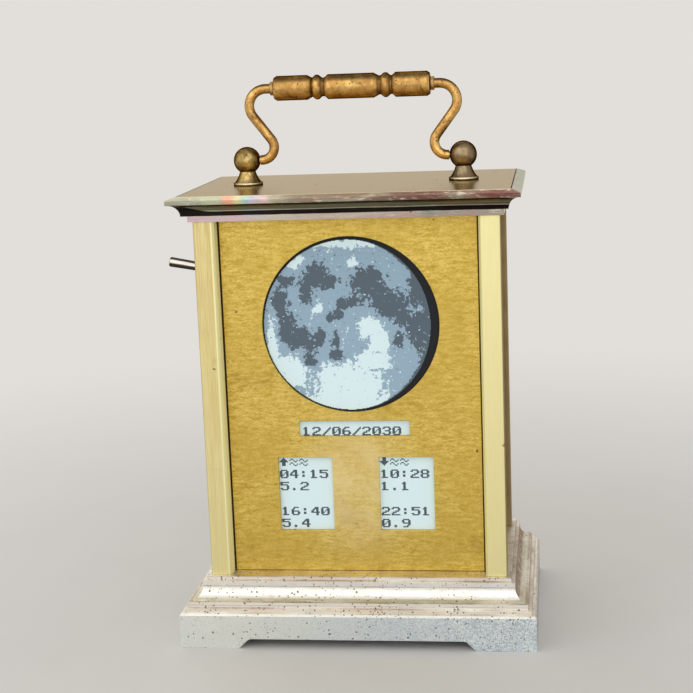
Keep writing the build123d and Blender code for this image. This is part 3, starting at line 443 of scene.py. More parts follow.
caseMarks = {
    "paleMiddle": (0.0, 0.0, 0.042), "paleReach": (0.004, 0.02), "maskFront": (-0.019, -0.017),
    "rim": (0.0347, 0.0353), "gapDepth": (0.0214, 0.0217), "gapEdge": (0.0344, 0.0346),
    "paleFoot": (0.02, 0.1), "paleRight": (-0.02, 0.03),
}


def maskTint(tree, colour):  # paler between the two tide windows
    off = vector(tree, "SUBTRACT", place(tree), caseMarks["paleMiddle"])
    far = length(tree, vector(tree, "MULTIPLY", off, (1.0, 0.0, 0.8)))
    cloud = noise(tree, place(tree), 200.0, 4.0)
    share = spread(tree, far, *caseMarks["paleReach"], 0.6, 0.0)
    share = times(tree, share, spread(tree, cloud, 0.3, 0.6, 0.5, 1.0))
    front = spread(tree, spot(tree)[1], *caseMarks["maskFront"], 1.0, 0.0)
    return blend(tree, times(tree, share, front), colour, (250, 232, 176))


def outward(tree):  # one where the case's outer sides look, minus one where its inner sides do
    return times(tree, facing(tree)[0], maths(tree, "SIGN", spot(tree)[0]))


def pillarDull(tree):  # less metal on the inner sides, pale beside the mask, and on the outer ones, whose darker colour is painted shade
    inner = spread(tree, outward(tree), -0.95, -0.85, 0.1, 1.0)
    return times(tree, inner, spread(tree, outward(tree), 0.7, 0.95, 1.0, 0.55))


def pillarTint(tree, colour):  # painted shade on the case's outer sides and on faces looking into it, painted light on the right and towards the foot, painted highlights on the inner sides and the left one's inner edge, painted shadow in the gap beside the mask
    x = spot(tree)[0]
    outer = outward(tree)
    across = times(tree, facing(tree)[1], maths(tree, "SIGN", spot(tree)[1]))
    # painted shade on the outer sides and on the faces that look into the case, cloudy
    side = larger(tree, spread(tree, outer, 0.6, 0.9), spread(tree, across, -0.9, -0.6, 1.0, 0.0))
    cloud = noise(tree, vector(tree, "MULTIPLY", place(tree), (1.0, 1.0, 0.5)), 160.0, 5.0, 0.65)
    # painted light: paler towards the foot and on the right
    low = spread(tree, spot(tree)[2], *caseMarks["paleFoot"], 1.0, 0.0, "LINEAR")
    pale = larger(tree, times(tree, low, 0.5), spread(tree, x, *caseMarks["paleRight"], 0.0, 0.75))
    colour = blend(tree, pale, colour, (255, 248, 188))
    rim = band(tree, minus(tree, 0.0, x), *caseMarks["rim"], 0.00015)  # painted highlight on the inner edge of the left one
    colour = blend(tree, rim, colour, (255, 250, 190))
    # painted highlight on the inner sides
    colour = blend(tree, spread(tree, outer, -0.5, -0.3, 0.85, 0.0), colour, (255, 250, 190))
    # painted shadow in the gap between each pillar and the mask
    deep = spread(tree, unsigned(tree, spot(tree)[1]), *caseMarks["gapDepth"], 1.0, 0.0)
    deep = times(tree, deep, spread(tree, unsigned(tree, x), *caseMarks["gapEdge"], 0.95, 0.0))
    colour = blend(tree, deep, colour, (52, 38, 12))
    return blend(tree, times(tree, side, spread(tree, cloud, 0.3, 0.7, 0.88, 0.98)), colour, (152, 132, 98))


handleMarks = {
    "gripMiddle": (0.0, 0.0, 0.147), "grooves": (0.00265, 0.003), "gripEnd": (0.0202, 0.0204),
    "lip": (0.1216, 0.122), "foot": (0.12135, 0.1215), "rightPost": (-0.01, 0.01),
}


def handleTint(tree, colour):  # bright in front and behind, a painted dark reflection in olive on top, painted shade in brown underneath, on the faces turned away from front and back, and in the grip's grooves
    up = facing(tree)[2]
    cloud = noise(tree, place(tree), 420.0, 5.0, 0.65)
    # painted dark reflection on top
    share = times(tree, spread(tree, up, 0.3, 0.8), spread(tree, cloud, 0.3, 0.6, 0.7, 0.96))
    colour = blend(tree, share, colour, (84, 68, 36))
    # painted shade underneath
    share = times(tree, spread(tree, up, -0.95, -0.55, 1.0, 0.0), spread(tree, cloud, 0.3, 0.6, 0.4, 0.8))
    colour = blend(tree, share, colour, (110, 74, 36))
    # painted shade on the faces turned away from front and back
    edge = spread(tree, unsigned(tree, facing(tree)[1]), 0.15, 0.7, 1.0, 0.0)
    share = times(tree, edge, spread(tree, cloud, 0.3, 0.6, 0.5, 0.9))
    colour = blend(tree, share, colour, (82, 62, 34))
    off = vector(tree, "SUBTRACT", place(tree), handleMarks["gripMiddle"])  # painted shade in the grip's grooves
    depth = length(tree, vector(tree, "MULTIPLY", off, (0.0, 1.0, 1.0)))
    within = spread(tree, unsigned(tree, spot(tree)[0]), *handleMarks["gripEnd"], 0.7, 0.0)
    groove = times(tree, spread(tree, depth, *handleMarks["grooves"], 1.0, 0.0), within)
    return blend(tree, groove, colour, (84, 58, 28))


def postTint(tree, colour):  # painted shade in brown at the edges turned away from front and back, the right post greyer, a painted highlight on the lip at the foot and painted shade below it
    across = unsigned(tree, facing(tree)[1])
    cloud = noise(tree, place(tree), 420.0, 5.0, 0.65)
    right = spread(tree, spot(tree)[0], *handleMarks["rightPost"])
    colour = blend(tree, times(tree, right, 0.7), colour, (140, 124, 104))
    level = spot(tree)[2]
    # painted highlight on the lip
    colour = blend(tree, band(tree, level, *handleMarks["lip"], 0.00008), colour, (244, 232, 194))
    # painted shade where the post meets the plate
    colour = blend(tree, spread(tree, level, *handleMarks["foot"], 0.85, 0.0), colour, (46, 36, 22))
    # painted shade at the edges turned away from front and back
    share = spread(tree, across, 0.35, 0.95, 0.95, 0.0)
    share = times(tree, share, spread(tree, cloud, 0.3, 0.6, 0.7, 1.0))
    return blend(tree, share, colour, blend(tree, right, (76, 60, 32), (70, 58, 44)))


def leverTint(tree, colour):  # painted dark reflections on the lever's upper and lower flanks and painted shade on its end, leaving a bright line along it
    look = facing(tree)
    flank = larger(tree, spread(tree, look[2], 0.55, 0.75), spread(tree, look[2], -0.2, 0.02, 1.0, 0.0))
    dark = larger(tree, flank, spread(tree, look[0], -0.9, -0.6, 1.0, 0.0))
    return blend(tree, times(tree, dark, 0.95), colour, (44, 38, 32))


finishes = {name: metal(name, *looks) for name, looks in {
    "maskBrass": (maskLook, maskTint),
    "pillarBrass": (pillarLook, pillarTint, pillarDull),
    "plateBrass": (plateLook,),
    "handleBrass": (handleLook, handleTint),
    "postBrass": (postLook, postTint),
    "collarBrass": (dict(handleLook, light=(224, 196, 140), dark=(160, 130, 82), stainFrom=0.6),),
    "plinthSilver": (silverLook, plinthTint),
    "capSilver": (capLook, capTint),
    "nickel": (nickelLook,),
    "leverNickel": (leverLook, leverTint),
    "steel": (steelLook,),
    "tinned": (dict(steelLook, light=(214, 212, 206), dark=(176, 174, 168), pitShare=0.05),),
}.items()}
print("metals ready")


# Plastics, boards, wires and cells

def moulded(name, plain, worn, roughness):
    made, tree, shader = newMaterial(name)
    fine = noise(tree, place(tree), 5000.0, 3.0, 0.6)
    cloud = use(tree, "blotch", Scale=240.0, Low=0.35, High=0.7)["Mask"]
    scratch = use(tree, "scratches", Share=0.25)["Mask"]
    dust = use(tree, "dust", Amount=0.25)["Mask"]
    colour = blend(tree, times(tree, cloud, 0.35), plain, worn)
    colour = blend(tree, larger(tree, scratch, dust), colour, (150, 148, 142))
    rough = spread(tree, fine, 0.3, 0.7, roughness - 0.06, roughness + 0.08)
    rough = plus(tree, rough, times(tree, dust, 0.3))
    height = minus(tree, fine, times(tree, scratch, 0.5))
    finishShader(tree, shader, colour, rough, height, 0.00002)
    return made


def board(name, resist, track, edge):
    made, tree, shader = newMaterial(name)
    at = place(tree)
    snapped = vector(tree, "SNAP", at, (0.0012, 0.0012, 0.0012))
    squares = cells(tree, snapped, 420.0, distance="MANHATTAN")["Distance"]
    copper = times(tree, spread(tree, squares, 0.3, 0.34), 0.6)
    weave = noise(tree, vector(tree, "MULTIPLY", at, (1.0, 1.0, 0.4)), 2600.0)
    ring = spread(tree, cells(tree, at, 300.0)["Distance"], 0.06, 0.09, 1.0, 0.0)
    colour = blend(tree, copper, resist, track)
    colour = blend(tree, times(tree, weave, 0.2), colour, edge)
    colour = blend(tree, ring, colour, (206, 186, 128))
    rough = spread(tree, weave, 0.3, 0.7, 0.24, 0.36)
    finishShader(tree, shader, colour, rough, plus(tree, copper, times(tree, weave, 0.2)), 0.00004)
    return made


cell = {  # the middle height, half the width of the middle one, then heights above the middle
    "middle": 0.045, "aside": 0.0055, "shift": 0.0004, "bareEnd": (0.0216, 0.0217),
    "darkFrom": (-0.0102, -0.01), "ring": (-0.0096, -0.0086),
}


def cellJacket():  # the middle cell stands the other way up
    made, tree, shader = newMaterial("cellJacket")
    x, y, z = spot(tree)[0:3]
    over = maths(tree, "LESS_THAN", unsigned(tree, x), cell["aside"])
    turnedOver = minus(tree, 1.0, times(tree, over, 2.0))
    up = times(tree, minus(tree, z, cell["middle"]), turnedOver)
    wrap = noise(tree, vector(tree, "MULTIPLY", place(tree), (1.0, 1.0, 0.3)), 500.0, 4.0)
    metalEnd = spread(tree, unsigned(tree, plus(tree, up, cell["shift"])), *cell["bareEnd"])
    colour = blend(tree, spread(tree, up, *cell["darkFrom"]), (190, 192, 194), (40, 44, 52))
    colour = blend(tree, band(tree, up, *cell["ring"], 0.0001), colour, (196, 152, 60))
    colour = blend(tree, times(tree, wrap, 0.2), colour, (110, 112, 116))
    colour = blend(tree, use(tree, "scratches", Share=0.4)["Mask"], colour, (200, 200, 198))
    colour = blend(tree, metalEnd, colour, (206, 204, 198))
    shader.inputs["Coat Weight"].default_value = 0.4
    finishShader(tree, shader, colour, spread(tree, wrap, 0.3, 0.7, 0.28, 0.42), wrap, 0.00003, metalEnd)
    return made


def ribbonFilm():
    made, tree, shader = newMaterial("ribbonFilm")
    x = spot(tree)[0]
    lane = maths(tree, "PINGPONG", x, 0.0004)
    copper = spread(tree, lane, 0.00018, 0.00024)
    colour = blend(tree, copper, (190, 116, 40), (150, 84, 24))
    rough = spread(tree, noise(tree, place(tree), 600.0), 0.3, 0.7, 0.2, 0.34)
    finishShader(tree, shader, colour, rough, copper, 0.00002)
    return made


def foam():
    made, tree, shader = newMaterial("foam")
    pores = cells(tree, place(tree), 2400.0)["Distance"]
    colour = blend(tree, spread(tree, pores, 0.1, 0.5), (22, 22, 23), (62, 61, 60))
    finishShader(tree, shader, colour, spread(tree, pores, 0.0, 0.6, 0.95, 0.8), pores, 0.0002)
    return made


for name, values in {  # plain colour, worn colour, roughness
        "blackPlastic": ((30, 30, 32), (52, 52, 54), 0.48),
        "redPlastic": ((150, 38, 32), (120, 30, 28), 0.4),
        "redWire": ((178, 34, 28), (150, 30, 26), 0.36),
        "yellowWire": ((214, 172, 48), (184, 146, 44), 0.36),
        "blackWire": ((34, 34, 36), (56, 56, 58), 0.36),
        "buttonCap": ((226, 224, 214), (204, 200, 188), 0.42)}.items():
    finishes[name] = moulded(name, *values)
for name, values in {  # solder resist, track, weave
        "displayBoard": ((24, 62, 116), (40, 88, 148), (160, 170, 150)),
        "controllerBoard": ((22, 92, 52), (44, 122, 70), (170, 176, 140))}.items():
    finishes[name] = board(name, *values)
for build in (cellJacket, ribbonFilm, foam):
    finishes[build.__name__] = build()


# The four-grey picture behind the mask: a plain moon in a black sky above white paper

moon = {
    "centreX": -0.5, "centreZ": 85.25, "radius": 22.75, "lit": 0.945, "skyFoot": 60.9, "dot": 0.169,
    "white": (228, 250, 255), "light": (155, 182, 202), "dark": (92, 106, 118), "black": (24, 25, 29),
    "tones": [(0.0, "dark"), (0.34, "light"), (0.72, "white")],
    "craters": [(11.0, 0.3, 0.13), (26.0, 0.14, 0.2)],  # how fine, how many of them, how wide
    # seas as share of the disc's radius: right, up, half width, half height
    "seas": [
        (-0.36, 0.58, 0.15, 0.16), (-0.2, 0.52, 0.1, 0.07), (-0.5, 0.42, 0.09, 0.16),
        (-0.73, 0.53, 0.1, 0.06), (-0.8, 0.27, 0.11, 0.17), (-0.74, -0.02, 0.13, 0.18),
        (-0.6, -0.13, 0.16, 0.13), (-0.36, -0.14, 0.08, 0.1), (-0.47, -0.23, 0.09, 0.08),
        (-0.48, -0.41, 0.08, 0.08), (-0.16, -0.35, 0.09, 0.08), (-0.16, -0.16, 0.04, 0.12),
        (-0.13, 0.14, 0.07, 0.08), (-0.23, 0.1, 0.05, 0.05), (-0.08, 0.26, 0.06, 0.05),
        (0.06, 0.29, 0.1, 0.06), (0.22, 0.5, 0.19, 0.17), (0.34, 0.42, 0.12, 0.1),
        (0.47, 0.24, 0.22, 0.17), (0.62, 0.1, 0.1, 0.12), (0.78, 0.38, 0.09, 0.18),
        (0.8, -0.03, 0.13, 0.22), (0.8, -0.24, 0.07, 0.1), (0.57, -0.19, 0.05, 0.09)],
    # pale highlands in the same way
    "highlands": [
        (-0.04, -0.74, 0.42, 0.3), (-0.05, -0.95, 0.6, 0.16), (-0.9, -0.3, 0.07, 0.4),
        (-0.72, -0.56, 0.22, 0.2), (0.25, -0.03, 0.14, 0.16), (0.34, -0.2, 0.13, 0.15),
        (0.26, -0.42, 0.22, 0.13), (-0.1, 0.97, 0.5, 0.06), (-0.62, 0.76, 0.16, 0.05),
        (0.06, 0.72, 0.05, 0.05), (-0.36, 0.21, 0.05, 0.05)],
}


def paperPicture():
    made, tree, shader = newMaterial("paperPicture")
    at = vector(tree, "SNAP", place(tree), (moon["dot"] * mm,) * 3)
    at = vector(tree, "SUBTRACT", at, (moon["centreX"] * mm, 0.0, moon["centreZ"] * mm))
    unit = 1 / (moon["radius"] * mm)
    disc = vector(tree, "MULTIPLY", at, (unit, 0.0, unit))

    def bentDisc(scale, amount):
        shift = vector(tree, "SUBTRACT", wander(tree, disc, scale, 6.0, 0.68), (0.5, 0.5, 0.5))
        shift = vector(tree, "MULTIPLY", shift, (amount, 0.0, amount))
        return vector(tree, "ADD", disc, shift)

    def patches(places, at, soft):
        total = None
        for right, up, wide, high in places:
            off = vector(tree, "SUBTRACT", at, (right, 0.0, up))
            off = vector(tree, "MULTIPLY", off, (1 / wide, 0.0, 1 / high))
            patch = spread(tree, length(tree, off), 1.0 - soft, 1.0 + soft, 1.0, 0.0)
            total = patch if total is None else larger(tree, total, patch)
        return total

    sea = patches(moon["seas"], bentDisc(7.5, 0.24), 0.6)
    pale = patches(moon["highlands"], bentDisc(6.5, 0.34), 0.5)
    broken = noise(tree, disc, 20.0, 5.0, 0.66)
    rough = noise(tree, disc, 6.0, 3.0, 0.6)
    level = plus(tree, 0.53, times(tree, pale, 0.4))
    level = minus(tree, level, times(tree, sea, 0.4))
    level = plus(tree, level, times(tree, minus(tree, broken, 0.5), 1.35))
    level = plus(tree, level, times(tree, minus(tree, rough, 0.5), 0.35))
    for size, share, reach in moon["craters"]:  # small and bright
        dots = cells(tree, disc, size)
        chosen = maths(tree, "LESS_THAN", axes(tree, dots["Color"])[0], share)
        spark = times(tree, spread(tree, dots["Distance"], reach * 0.7, reach, 1.0, 0.0), chosen)
        level = larger(tree, level, spark)
    right, up = axes(tree, disc)[0], axes(tree, disc)[2]
    edge = node(tree, "ShaderNodeMath", {0: minus(tree, 1.0, times(tree, up, up))}, operation="SQRT")
    last = times(tree, edge.outputs[0], moon["lit"])  # where the light ends, in the last days before half
    level = minus(tree, level, spread(tree, maths(tree, "DIVIDE", right, last), 0.92, 1.0, 0.0, 0.45))
    ramp = node(tree, "ShaderNodeValToRGB", {0: larger(tree, level, 0.05)})
    tones = ramp.color_ramp
    tones.interpolation = "CONSTANT"
    tones.elements.remove(tones.elements[1])
    tones.elements[0].color = rgba(moon["black"])
    for start, tone in moon["tones"]:
        tones.elements.new(start).color = rgba(moon[tone])
    inside = maths(tree, "LESS_THAN", length(tree, disc), 1.0)
    inside = times(tree, maths(tree, "LESS_THAN", right, last), inside)
    sky = maths(tree, "GREATER_THAN", spot(tree)[2], moon["skyFoot"] * mm)
    paper = blend(tree, sky, moon["white"], moon["black"])
    colour = blend(tree, inside, paper, ramp.outputs[0])
    grain = noise(tree, place(tree), 9000.0, 2.0)
    colour = blend(tree, times(tree, grain, 0.06), colour, (120, 130, 140))
    shader.inputs["Specular IOR Level"].default_value = 0.2
    finishShader(tree, shader, colour, spread(tree, grain, 0.3, 0.7, 0.5, 0.62), grain, 0.000004)
    return made


def paperBorder():
    made, tree, shader = newMaterial("paperBorder")
    grain = noise(tree, place(tree), 4000.0, 3.0)
    colour = blend(tree, grain, (206, 220, 224), (224, 236, 240))
    finishShader(tree, shader, colour, spread(tree, grain, 0.3, 0.7, 0.4, 0.55), grain, 0.000004)
    return made


def figureInk():
    made, tree, shader = newMaterial("figureInk")
    grain = noise(tree, place(tree), 6000.0, 3.0)
    colour = blend(tree, grain, (62, 74, 88), (84, 98, 112))
    finishShader(tree, shader, colour, spread(tree, grain, 0.3, 0.7, 0.5, 0.6), grain, 0.000004)
    return made


for build in (paperPicture, paperBorder, figureInk):
    finishes[build.__name__] = build()
print("picture and other finishes ready")


# Modelling helpers, all on bpy.ops

def bare():  # object mode with nothing selected
    if bpy.context.object and bpy.context.object.mode != "OBJECT":
        bpy.ops.object.mode_set(mode="OBJECT")
    bpy.ops.object.select_all(action="DESELECT")


def pick(made):
    bare()
    made.select_set(True)
    bpy.context.view_layer.objects.active = made


def editing(made, wanted=None):  # edit mode, with the faces that a test picks, or all of them
    pick(made)
    bpy.ops.object.mode_set(mode="EDIT")
    bpy.ops.mesh.select_mode(type="FACE")
    bpy.ops.mesh.select_all(action="SELECT" if wanted is None else "DESELECT")
    if wanted:
        shape = bmesh.from_edit_mesh(made.data)
        for face in shape.faces:
            face.select_set(wanted(face))
        bmesh.update_edit_mesh(made.data)


def settle(made):  # place, turn and size go into the mesh
    pick(made)
    bpy.ops.object.transform_apply(location=True, rotation=True, scale=True)
    return made


def modify(made, kind, **settings):
    pick(made)
    added = made.modifiers.new(kind.lower(), kind)
    for key, value in settings.items():
        setattr(added, key, value)
    bpy.ops.object.modifier_apply(modifier=added.name)


def repeat(made, count, step):  # copies in a row, each a step further, in millimetres
    modify(made, "ARRAY", count=count, use_relative_offset=False, use_constant_offset=True,
           constant_offset_displace=Vector(step) * mm)


def soften(made, width, angle=30):  # fine rounded edges that catch the light
    modify(made, "BEVEL", width=width * mm, segments=2, limit_method="ANGLE", angle_limit=radians(angle))
    pick(made)
    bpy.ops.object.shade_smooth_by_angle(angle=radians(40))
    modify(made, "WEIGHTED_NORMAL", keep_sharp=True)  # broad faces stay flat beside their rounded edges


def dress(made, name, finish, body, stands=()):
    made.name = name
    made.data.materials.clear()
    made.data.materials.append(finishes[finish])
    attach(made, body)
    if stands:
        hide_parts(*stands)


def joined(pieces):
    bare()
    for piece in pieces:
        piece.select_set(True)
    bpy.context.view_layer.objects.active = pieces[0]
    bpy.ops.object.join()
    return pieces[0]


def turned(points, at, toward, ends=48):  # an outline spun round a line through a place, along X or Y
    bare()
    bpy.ops.mesh.primitive_plane_add(size=0.001)
    made = bpy.context.object
    bpy.ops.object.mode_set(mode="EDIT")
    bpy.ops.mesh.delete(type="VERT")
    shape = bmesh.from_edit_mesh(made.data)
    corners = [shape.verts.new((radius * mm, 0.0, level * mm)) for radius, level in points]
    for first, second in zip(corners, corners[1:]):
        shape.edges.new((first, second))
    bmesh.update_edit_mesh(made.data)
    bpy.ops.mesh.select_all(action="SELECT")
    bpy.ops.mesh.spin(steps=ends, angle=2 * pi, center=(0, 0, 0), axis=(0, 0, 1))
    bpy.ops.mesh.select_all(action="SELECT")
    bpy.ops.mesh.remove_doubles(threshold=0.000002)
    bpy.ops.mesh.normals_make_consistent(inside=False)
    bpy.ops.object.mode_set(mode="OBJECT")
    made.rotation_euler = (0, pi / 2, 0) if toward == "X" else (-pi / 2, 0, 0)
    made.location = Vector(at) * mm
    return settle(made)


# CAD pieces with fine rounded edges: a merged copy of each stands for its node

softEdges = {  # how wide, the finish, and the smallest angle that is rounded, 30 where none is given
    "plinth": (0.16, "plinthSilver"), "cap": (0.1, "capSilver", 18), "top_plate": (0.12, "plateBrass"),
    "front_mask": (0.1, "maskBrass"), "rear_door": (0.15, "maskBrass"), "door_knob": (0.1, "handleBrass"),
    "pillar_front_left": (0.09, "pillarBrass"), "pillar_front_right": (0.09, "pillarBrass"),
    "pillar_rear_left": (0.09, "pillarBrass"), "pillar_rear_right": (0.09, "pillarBrass"),
    "side_panel_left": (0.1, "pillarBrass"), "side_panel_right": (0.1, "pillarBrass"),
    "switch_nut": (0.12, "nickel"), "switch_washer": (0.08, "nickel"),
    "switch_body": (0.2, "redPlastic"), "battery_holder": (0.2, "blackPlastic"),
    "display_board": (0.08, "displayBoard"), "controller_board": (0.08, "controllerBoard"),
    "header_sockets": (0.12, "blackPlastic"), "pin_headers": (0.12, "blackPlastic"),
    "controller_chip": (0.1, "blackPlastic"), "radio_can": (0.12, "tinned"), "usb_socket": (0.08, "tinned"),
    "handle_post_left": (0.26, "postBrass"), "handle_post_right": (0.26, "postBrass"),
    "handle_post_nuts": (0.12, "steel"), "stud_nuts": (0.08, "steel"),
    "ribbon_connector": (0.1, "blackPlastic"), "boot_button_housing": (0.1, "tinned"),
    "boot_button": (0.1, "buttonCap"), "holder_pad": (0.15, "foam"),
}

for nodeName, (width, finish, *angle) in softEdges.items():
    source = nodes[nodeName]
    made = bpy.data.objects.new(nodeName + "_soft", source.data.copy())
    scene.collection.objects.link(made)
    editing(made)
    bpy.ops.mesh.remove_doubles(threshold=0.000003)
    bpy.ops.mesh.dissolve_limited(angle_limit=radians(0.5))
    bpy.ops.object.mode_set(mode="OBJECT")
    bpy.ops.mesh.customdata_custom_splitnormals_clear()
    soften(made, width, *angle)
    dress(made, nodeName + "_soft", finish, source["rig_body"], [nodeName])
print("edges softened")

plainNodes = {
    "steel": ["pillar_screws_lower", "pillar_screws_upper", "mask_studs", "door_hinge_pins"],
    "handleBrass": ["handle_arm_left", "handle_arm_right"],
    "paperBorder": ["display_panel"], "ribbonFilm": ["display_ribbon"],
    "cellJacket": ["cell_1", "cell_2", "cell_3"], "tinned": ["cell_contacts", "switch_terminals"],
    "nickel": ["switch_bush"], "leverNickel": ["switch_lever"],
    "redWire": ["wire_battery_plus"], "yellowWire": ["wire_switch_out"], "blackWire": ["wire_battery_minus"],
}
for finish, names in plainNodes.items():
    for nodeName in names:
        slots = nodes[nodeName].data.materials
        slots.clear()
        slots.append(finishes[finish])
print("frame nodes finished")


# Picture sheet on the front of the panel, and its figures, all between the panel and the mask

sheet = {"width": 47.3, "height": 81.1, "middle": 69.15, "front": -20.435, "thickness": 0.02}
bare()
at = Vector((0, sheet["front"], sheet["middle"])) * mm
bpy.ops.mesh.primitive_plane_add(size=1, location=at, rotation=(pi / 2, 0, 0))
pictureSheet = bpy.context.object
pictureSheet.scale = (sheet["width"] * mm, sheet["height"] * mm, 1)
settle(pictureSheet)
modify(pictureSheet, "SOLIDIFY", thickness=sheet["thickness"] * mm, offset=-1)
dress(pictureSheet, "picture_sheet", "paperPicture", "case")

figures = {
    "dot": 0.3375, "front": -20.457, "thickness": 0.018,
    "shapes": {  # seven rows of seven dots each, as pairs of hexadecimal digits
        "0": "3E63676B73633E", "1": "1838181818183E", "2": "3E63030E38607F", "3": "3E63031E03633E",
        "4": "0E1E36667F0606", "5": "7F607E0303633E", "6": "1E30607E63633E", "7": "7F63060C181818",
        "8": "3E63633E63633E", "9": "3E63633F03063C", ":": "00181800181800", ".": "00000000001818",
        "/": "0103060C183060", "^": "081C3E7F1C1C1C", "v": "1C1C1C7F3E1C08", "~": "00304906304906",
    },
    # piece, then rows: marks, left edge, top edge
    "rows": {
        "date_figures": [("12/06/2030", -14.2, 57.85)],
        "tide_figures_left": [("^~~", -20.8, 49.4), ("04:15", -20.8, 46.0), ("5.2", -20.8, 42.6),
                              ("16:40", -20.8, 35.6), ("5.4", -20.8, 32.25)],
        "tide_figures_right": [("v~~", 6.45, 49.4), ("10:28", 6.45, 46.0), ("1.1", 6.45, 42.6),
                               ("22:51", 6.45, 35.6), ("0.9", 6.45, 32.25)],
    },
}


def figureRow(marks, left, top):
    dot = figures["dot"] * mm
    columns = 8 * len(marks)
    at = (left * mm + columns * dot / 2, figures["front"] * mm, top * mm - 3.5 * dot)
    bare()
    bpy.ops.mesh.primitive_grid_add(x_subdivisions=columns, y_subdivisions=7, size=1, location=at,
                                    rotation=(pi / 2, 0, 0))
    made = bpy.context.object
    made.scale = (columns * dot, 7 * dot, 1)
    settle(made)

    def isPaper(face):
        centre = face.calc_center_median()
        column = int((centre.x - left * mm) / dot)
        row = int((top * mm - centre.z) / dot)
        dots = int(figures["shapes"][marks[column // 8]][2 * row:2 * row + 2], 16)
        return column % 8 == 7 or not dots >> (6 - column % 8) & 1

    editing(made, isPaper)
    bpy.ops.mesh.delete(type="FACE")
    bpy.ops.object.mode_set(mode="OBJECT")
    return made


for name, rows in figures["rows"].items():
    made = joined([figureRow(*row) for row in rows])
    modify(made, "SOLIDIFY", thickness=figures["thickness"] * mm, offset=-1)
    dress(made, name, "figureInk", "case")
print("display finished")


# Handle collars, one where each arm enters the grip

collar = {"bore": 1.31, "radius": 1.85, "length": 1.15, "edge": 0.22, "start": 21.12, "height": 147.0}
bore, outer, edge, long = collar["bore"], collar["radius"], collar["edge"], collar["length"]
outline = [(bore, 0), (outer - edge, 0), (outer, edge), (outer, long - edge), (outer - edge, long),
           (bore, long), (bore, 0)]
for name, start in (("arm_collar_left", -collar["start"] - long), ("arm_collar_right", collar["start"])):
    made = turned(outline, (start, 0, collar["height"]), "X")
    soften(made, 0.05)
    dress(made, name, "collarBrass", "handle")

# Handle grip: three barrels with a blunt bead in each groove between them

grip = {"height": 147.0, "half": 21.1, "radius": 3.33, "groove": 2.5, "mouth": 2.85, "bore": 1.34,
        "bored": 4.3, "slope": 1.45, "lip": 0.95,
        "barrels": [(-20.35, -12.1), (-6.4, 5.95), (11.9, 20.35)], "beads": [-9.35, 9.2],
        # one flank of a bead: how far from its middle, and its radius
        "flank": [(1.42, 2.52), (1.2, 2.62), (0.75, 3.02), (0.5, 3.22), (0.2, 3.32)]}
half, hollow = grip["half"], grip["half"] - grip["bored"]
outline = [(0, -hollow), (grip["bore"], -hollow), (grip["bore"], -half), (grip["mouth"], -half)]
for index, (start, end) in enumerate(grip["barrels"]):
    if index:
        outline.append((grip["groove"], start - grip["lip"]))
    outline += [(grip["radius"], start), (grip["radius"], end)]
    if index < 2:
        middle = grip["beads"][index]
        outline.append((grip["groove"] + 0.06, end + grip["slope"]))
        outline += [(radius, middle - off) for off, radius in grip["flank"]]
        outline += [(radius, middle + off) for off, radius in reversed(grip["flank"])]
outline += [(grip["mouth"], half), (grip["bore"], half), (grip["bore"], hollow), (0, hollow)]
made = turned(outline, (0, 0, grip["height"]), "X", 72)
soften(made, 0.07, 20)
dress(made, "grip_turned", "handleBrass", "handle", ["handle_grip"])

# Screw thread on the switch bush, between its nut and its mouth

thread = {"root": 3.005, "valley": 3.03, "crest": 3.17, "pitch": 0.43, "turns": 7, "place": (-43.95, 0, 98.4)}
pitch, turns = thread["pitch"], thread["turns"]
outline = [(thread["root"], 0)]
for turn in range(turns):
    outline += [(thread["valley"], turn * pitch), (thread["crest"], (turn + 0.5) * pitch)]
outline += [(thread["valley"], turns * pitch), (thread["root"], turns * pitch), outline[0]]
made = turned(outline, thread["place"], "X")
dress(made, "bush_thread", "nickel", "case")

# Solder joints and pin ends on the back of the controller board

pins = {"x": 8.89, "y": -5.5, "z": 46.27, "pitch": 2.54, "count": 20,
        "outline": [(0, 0), (0.85, 0), (0.6, 0.12), (0.42, 0.4), (0.32, 0.6), (0.3, 1.1), (0.2, 1.25),
                    (0, 1.25)]}
made = turned(pins["outline"], (-pins["x"], pins["y"], pins["z"]), "Y", 10)
repeat(made, pins["count"], (0, 0, pins["pitch"]))
repeat(made, 2, (2 * pins["x"], 0, 0))
pick(made)
bpy.ops.object.shade_smooth_by_angle(angle=radians(50))
dress(made, "controller_pins", "tinned", "case")


def block(middle, size):  # a small block with rounded edges, in millimetres
    bare()
    bpy.ops.mesh.primitive_cube_add(size=1, location=Vector(middle) * mm)
    made = bpy.context.object
    made.scale = Vector(size) * mm
    settle(made)
    soften(made, min(size) * 0.18)
    return made


# Chip legs: one foot and shank, repeated along a side, then turned to the other sides

legs = {"middle": 71.93, "y": -5.5, "reach": 3.5, "pitch": 0.5, "count": 12, "width": 0.24}
lowest = legs["middle"] - (legs["count"] - 1) * legs["pitch"] / 2
sides = []
for side in range(4):
    foot = block((legs["reach"] + 0.75, legs["y"] + 0.08, lowest), (0.6, 0.14, legs["width"]))
    shank = block((legs["reach"] + 0.3, legs["y"] + 0.3, lowest), (0.4, 0.46, legs["width"]))
    row = joined([foot, shank])
    repeat(row, legs["count"], (0, 0, legs["pitch"]))
    pick(row)
    bpy.ops.transform.rotate(value=side * pi / 2, orient_axis="Y", center_override=(0, 0, legs["middle"] * mm))
    sides.append(settle(row))
dress(joined(sides), "chip_legs", "tinned", "case")

# Small parts soldered round the chip: a body between two bright ends

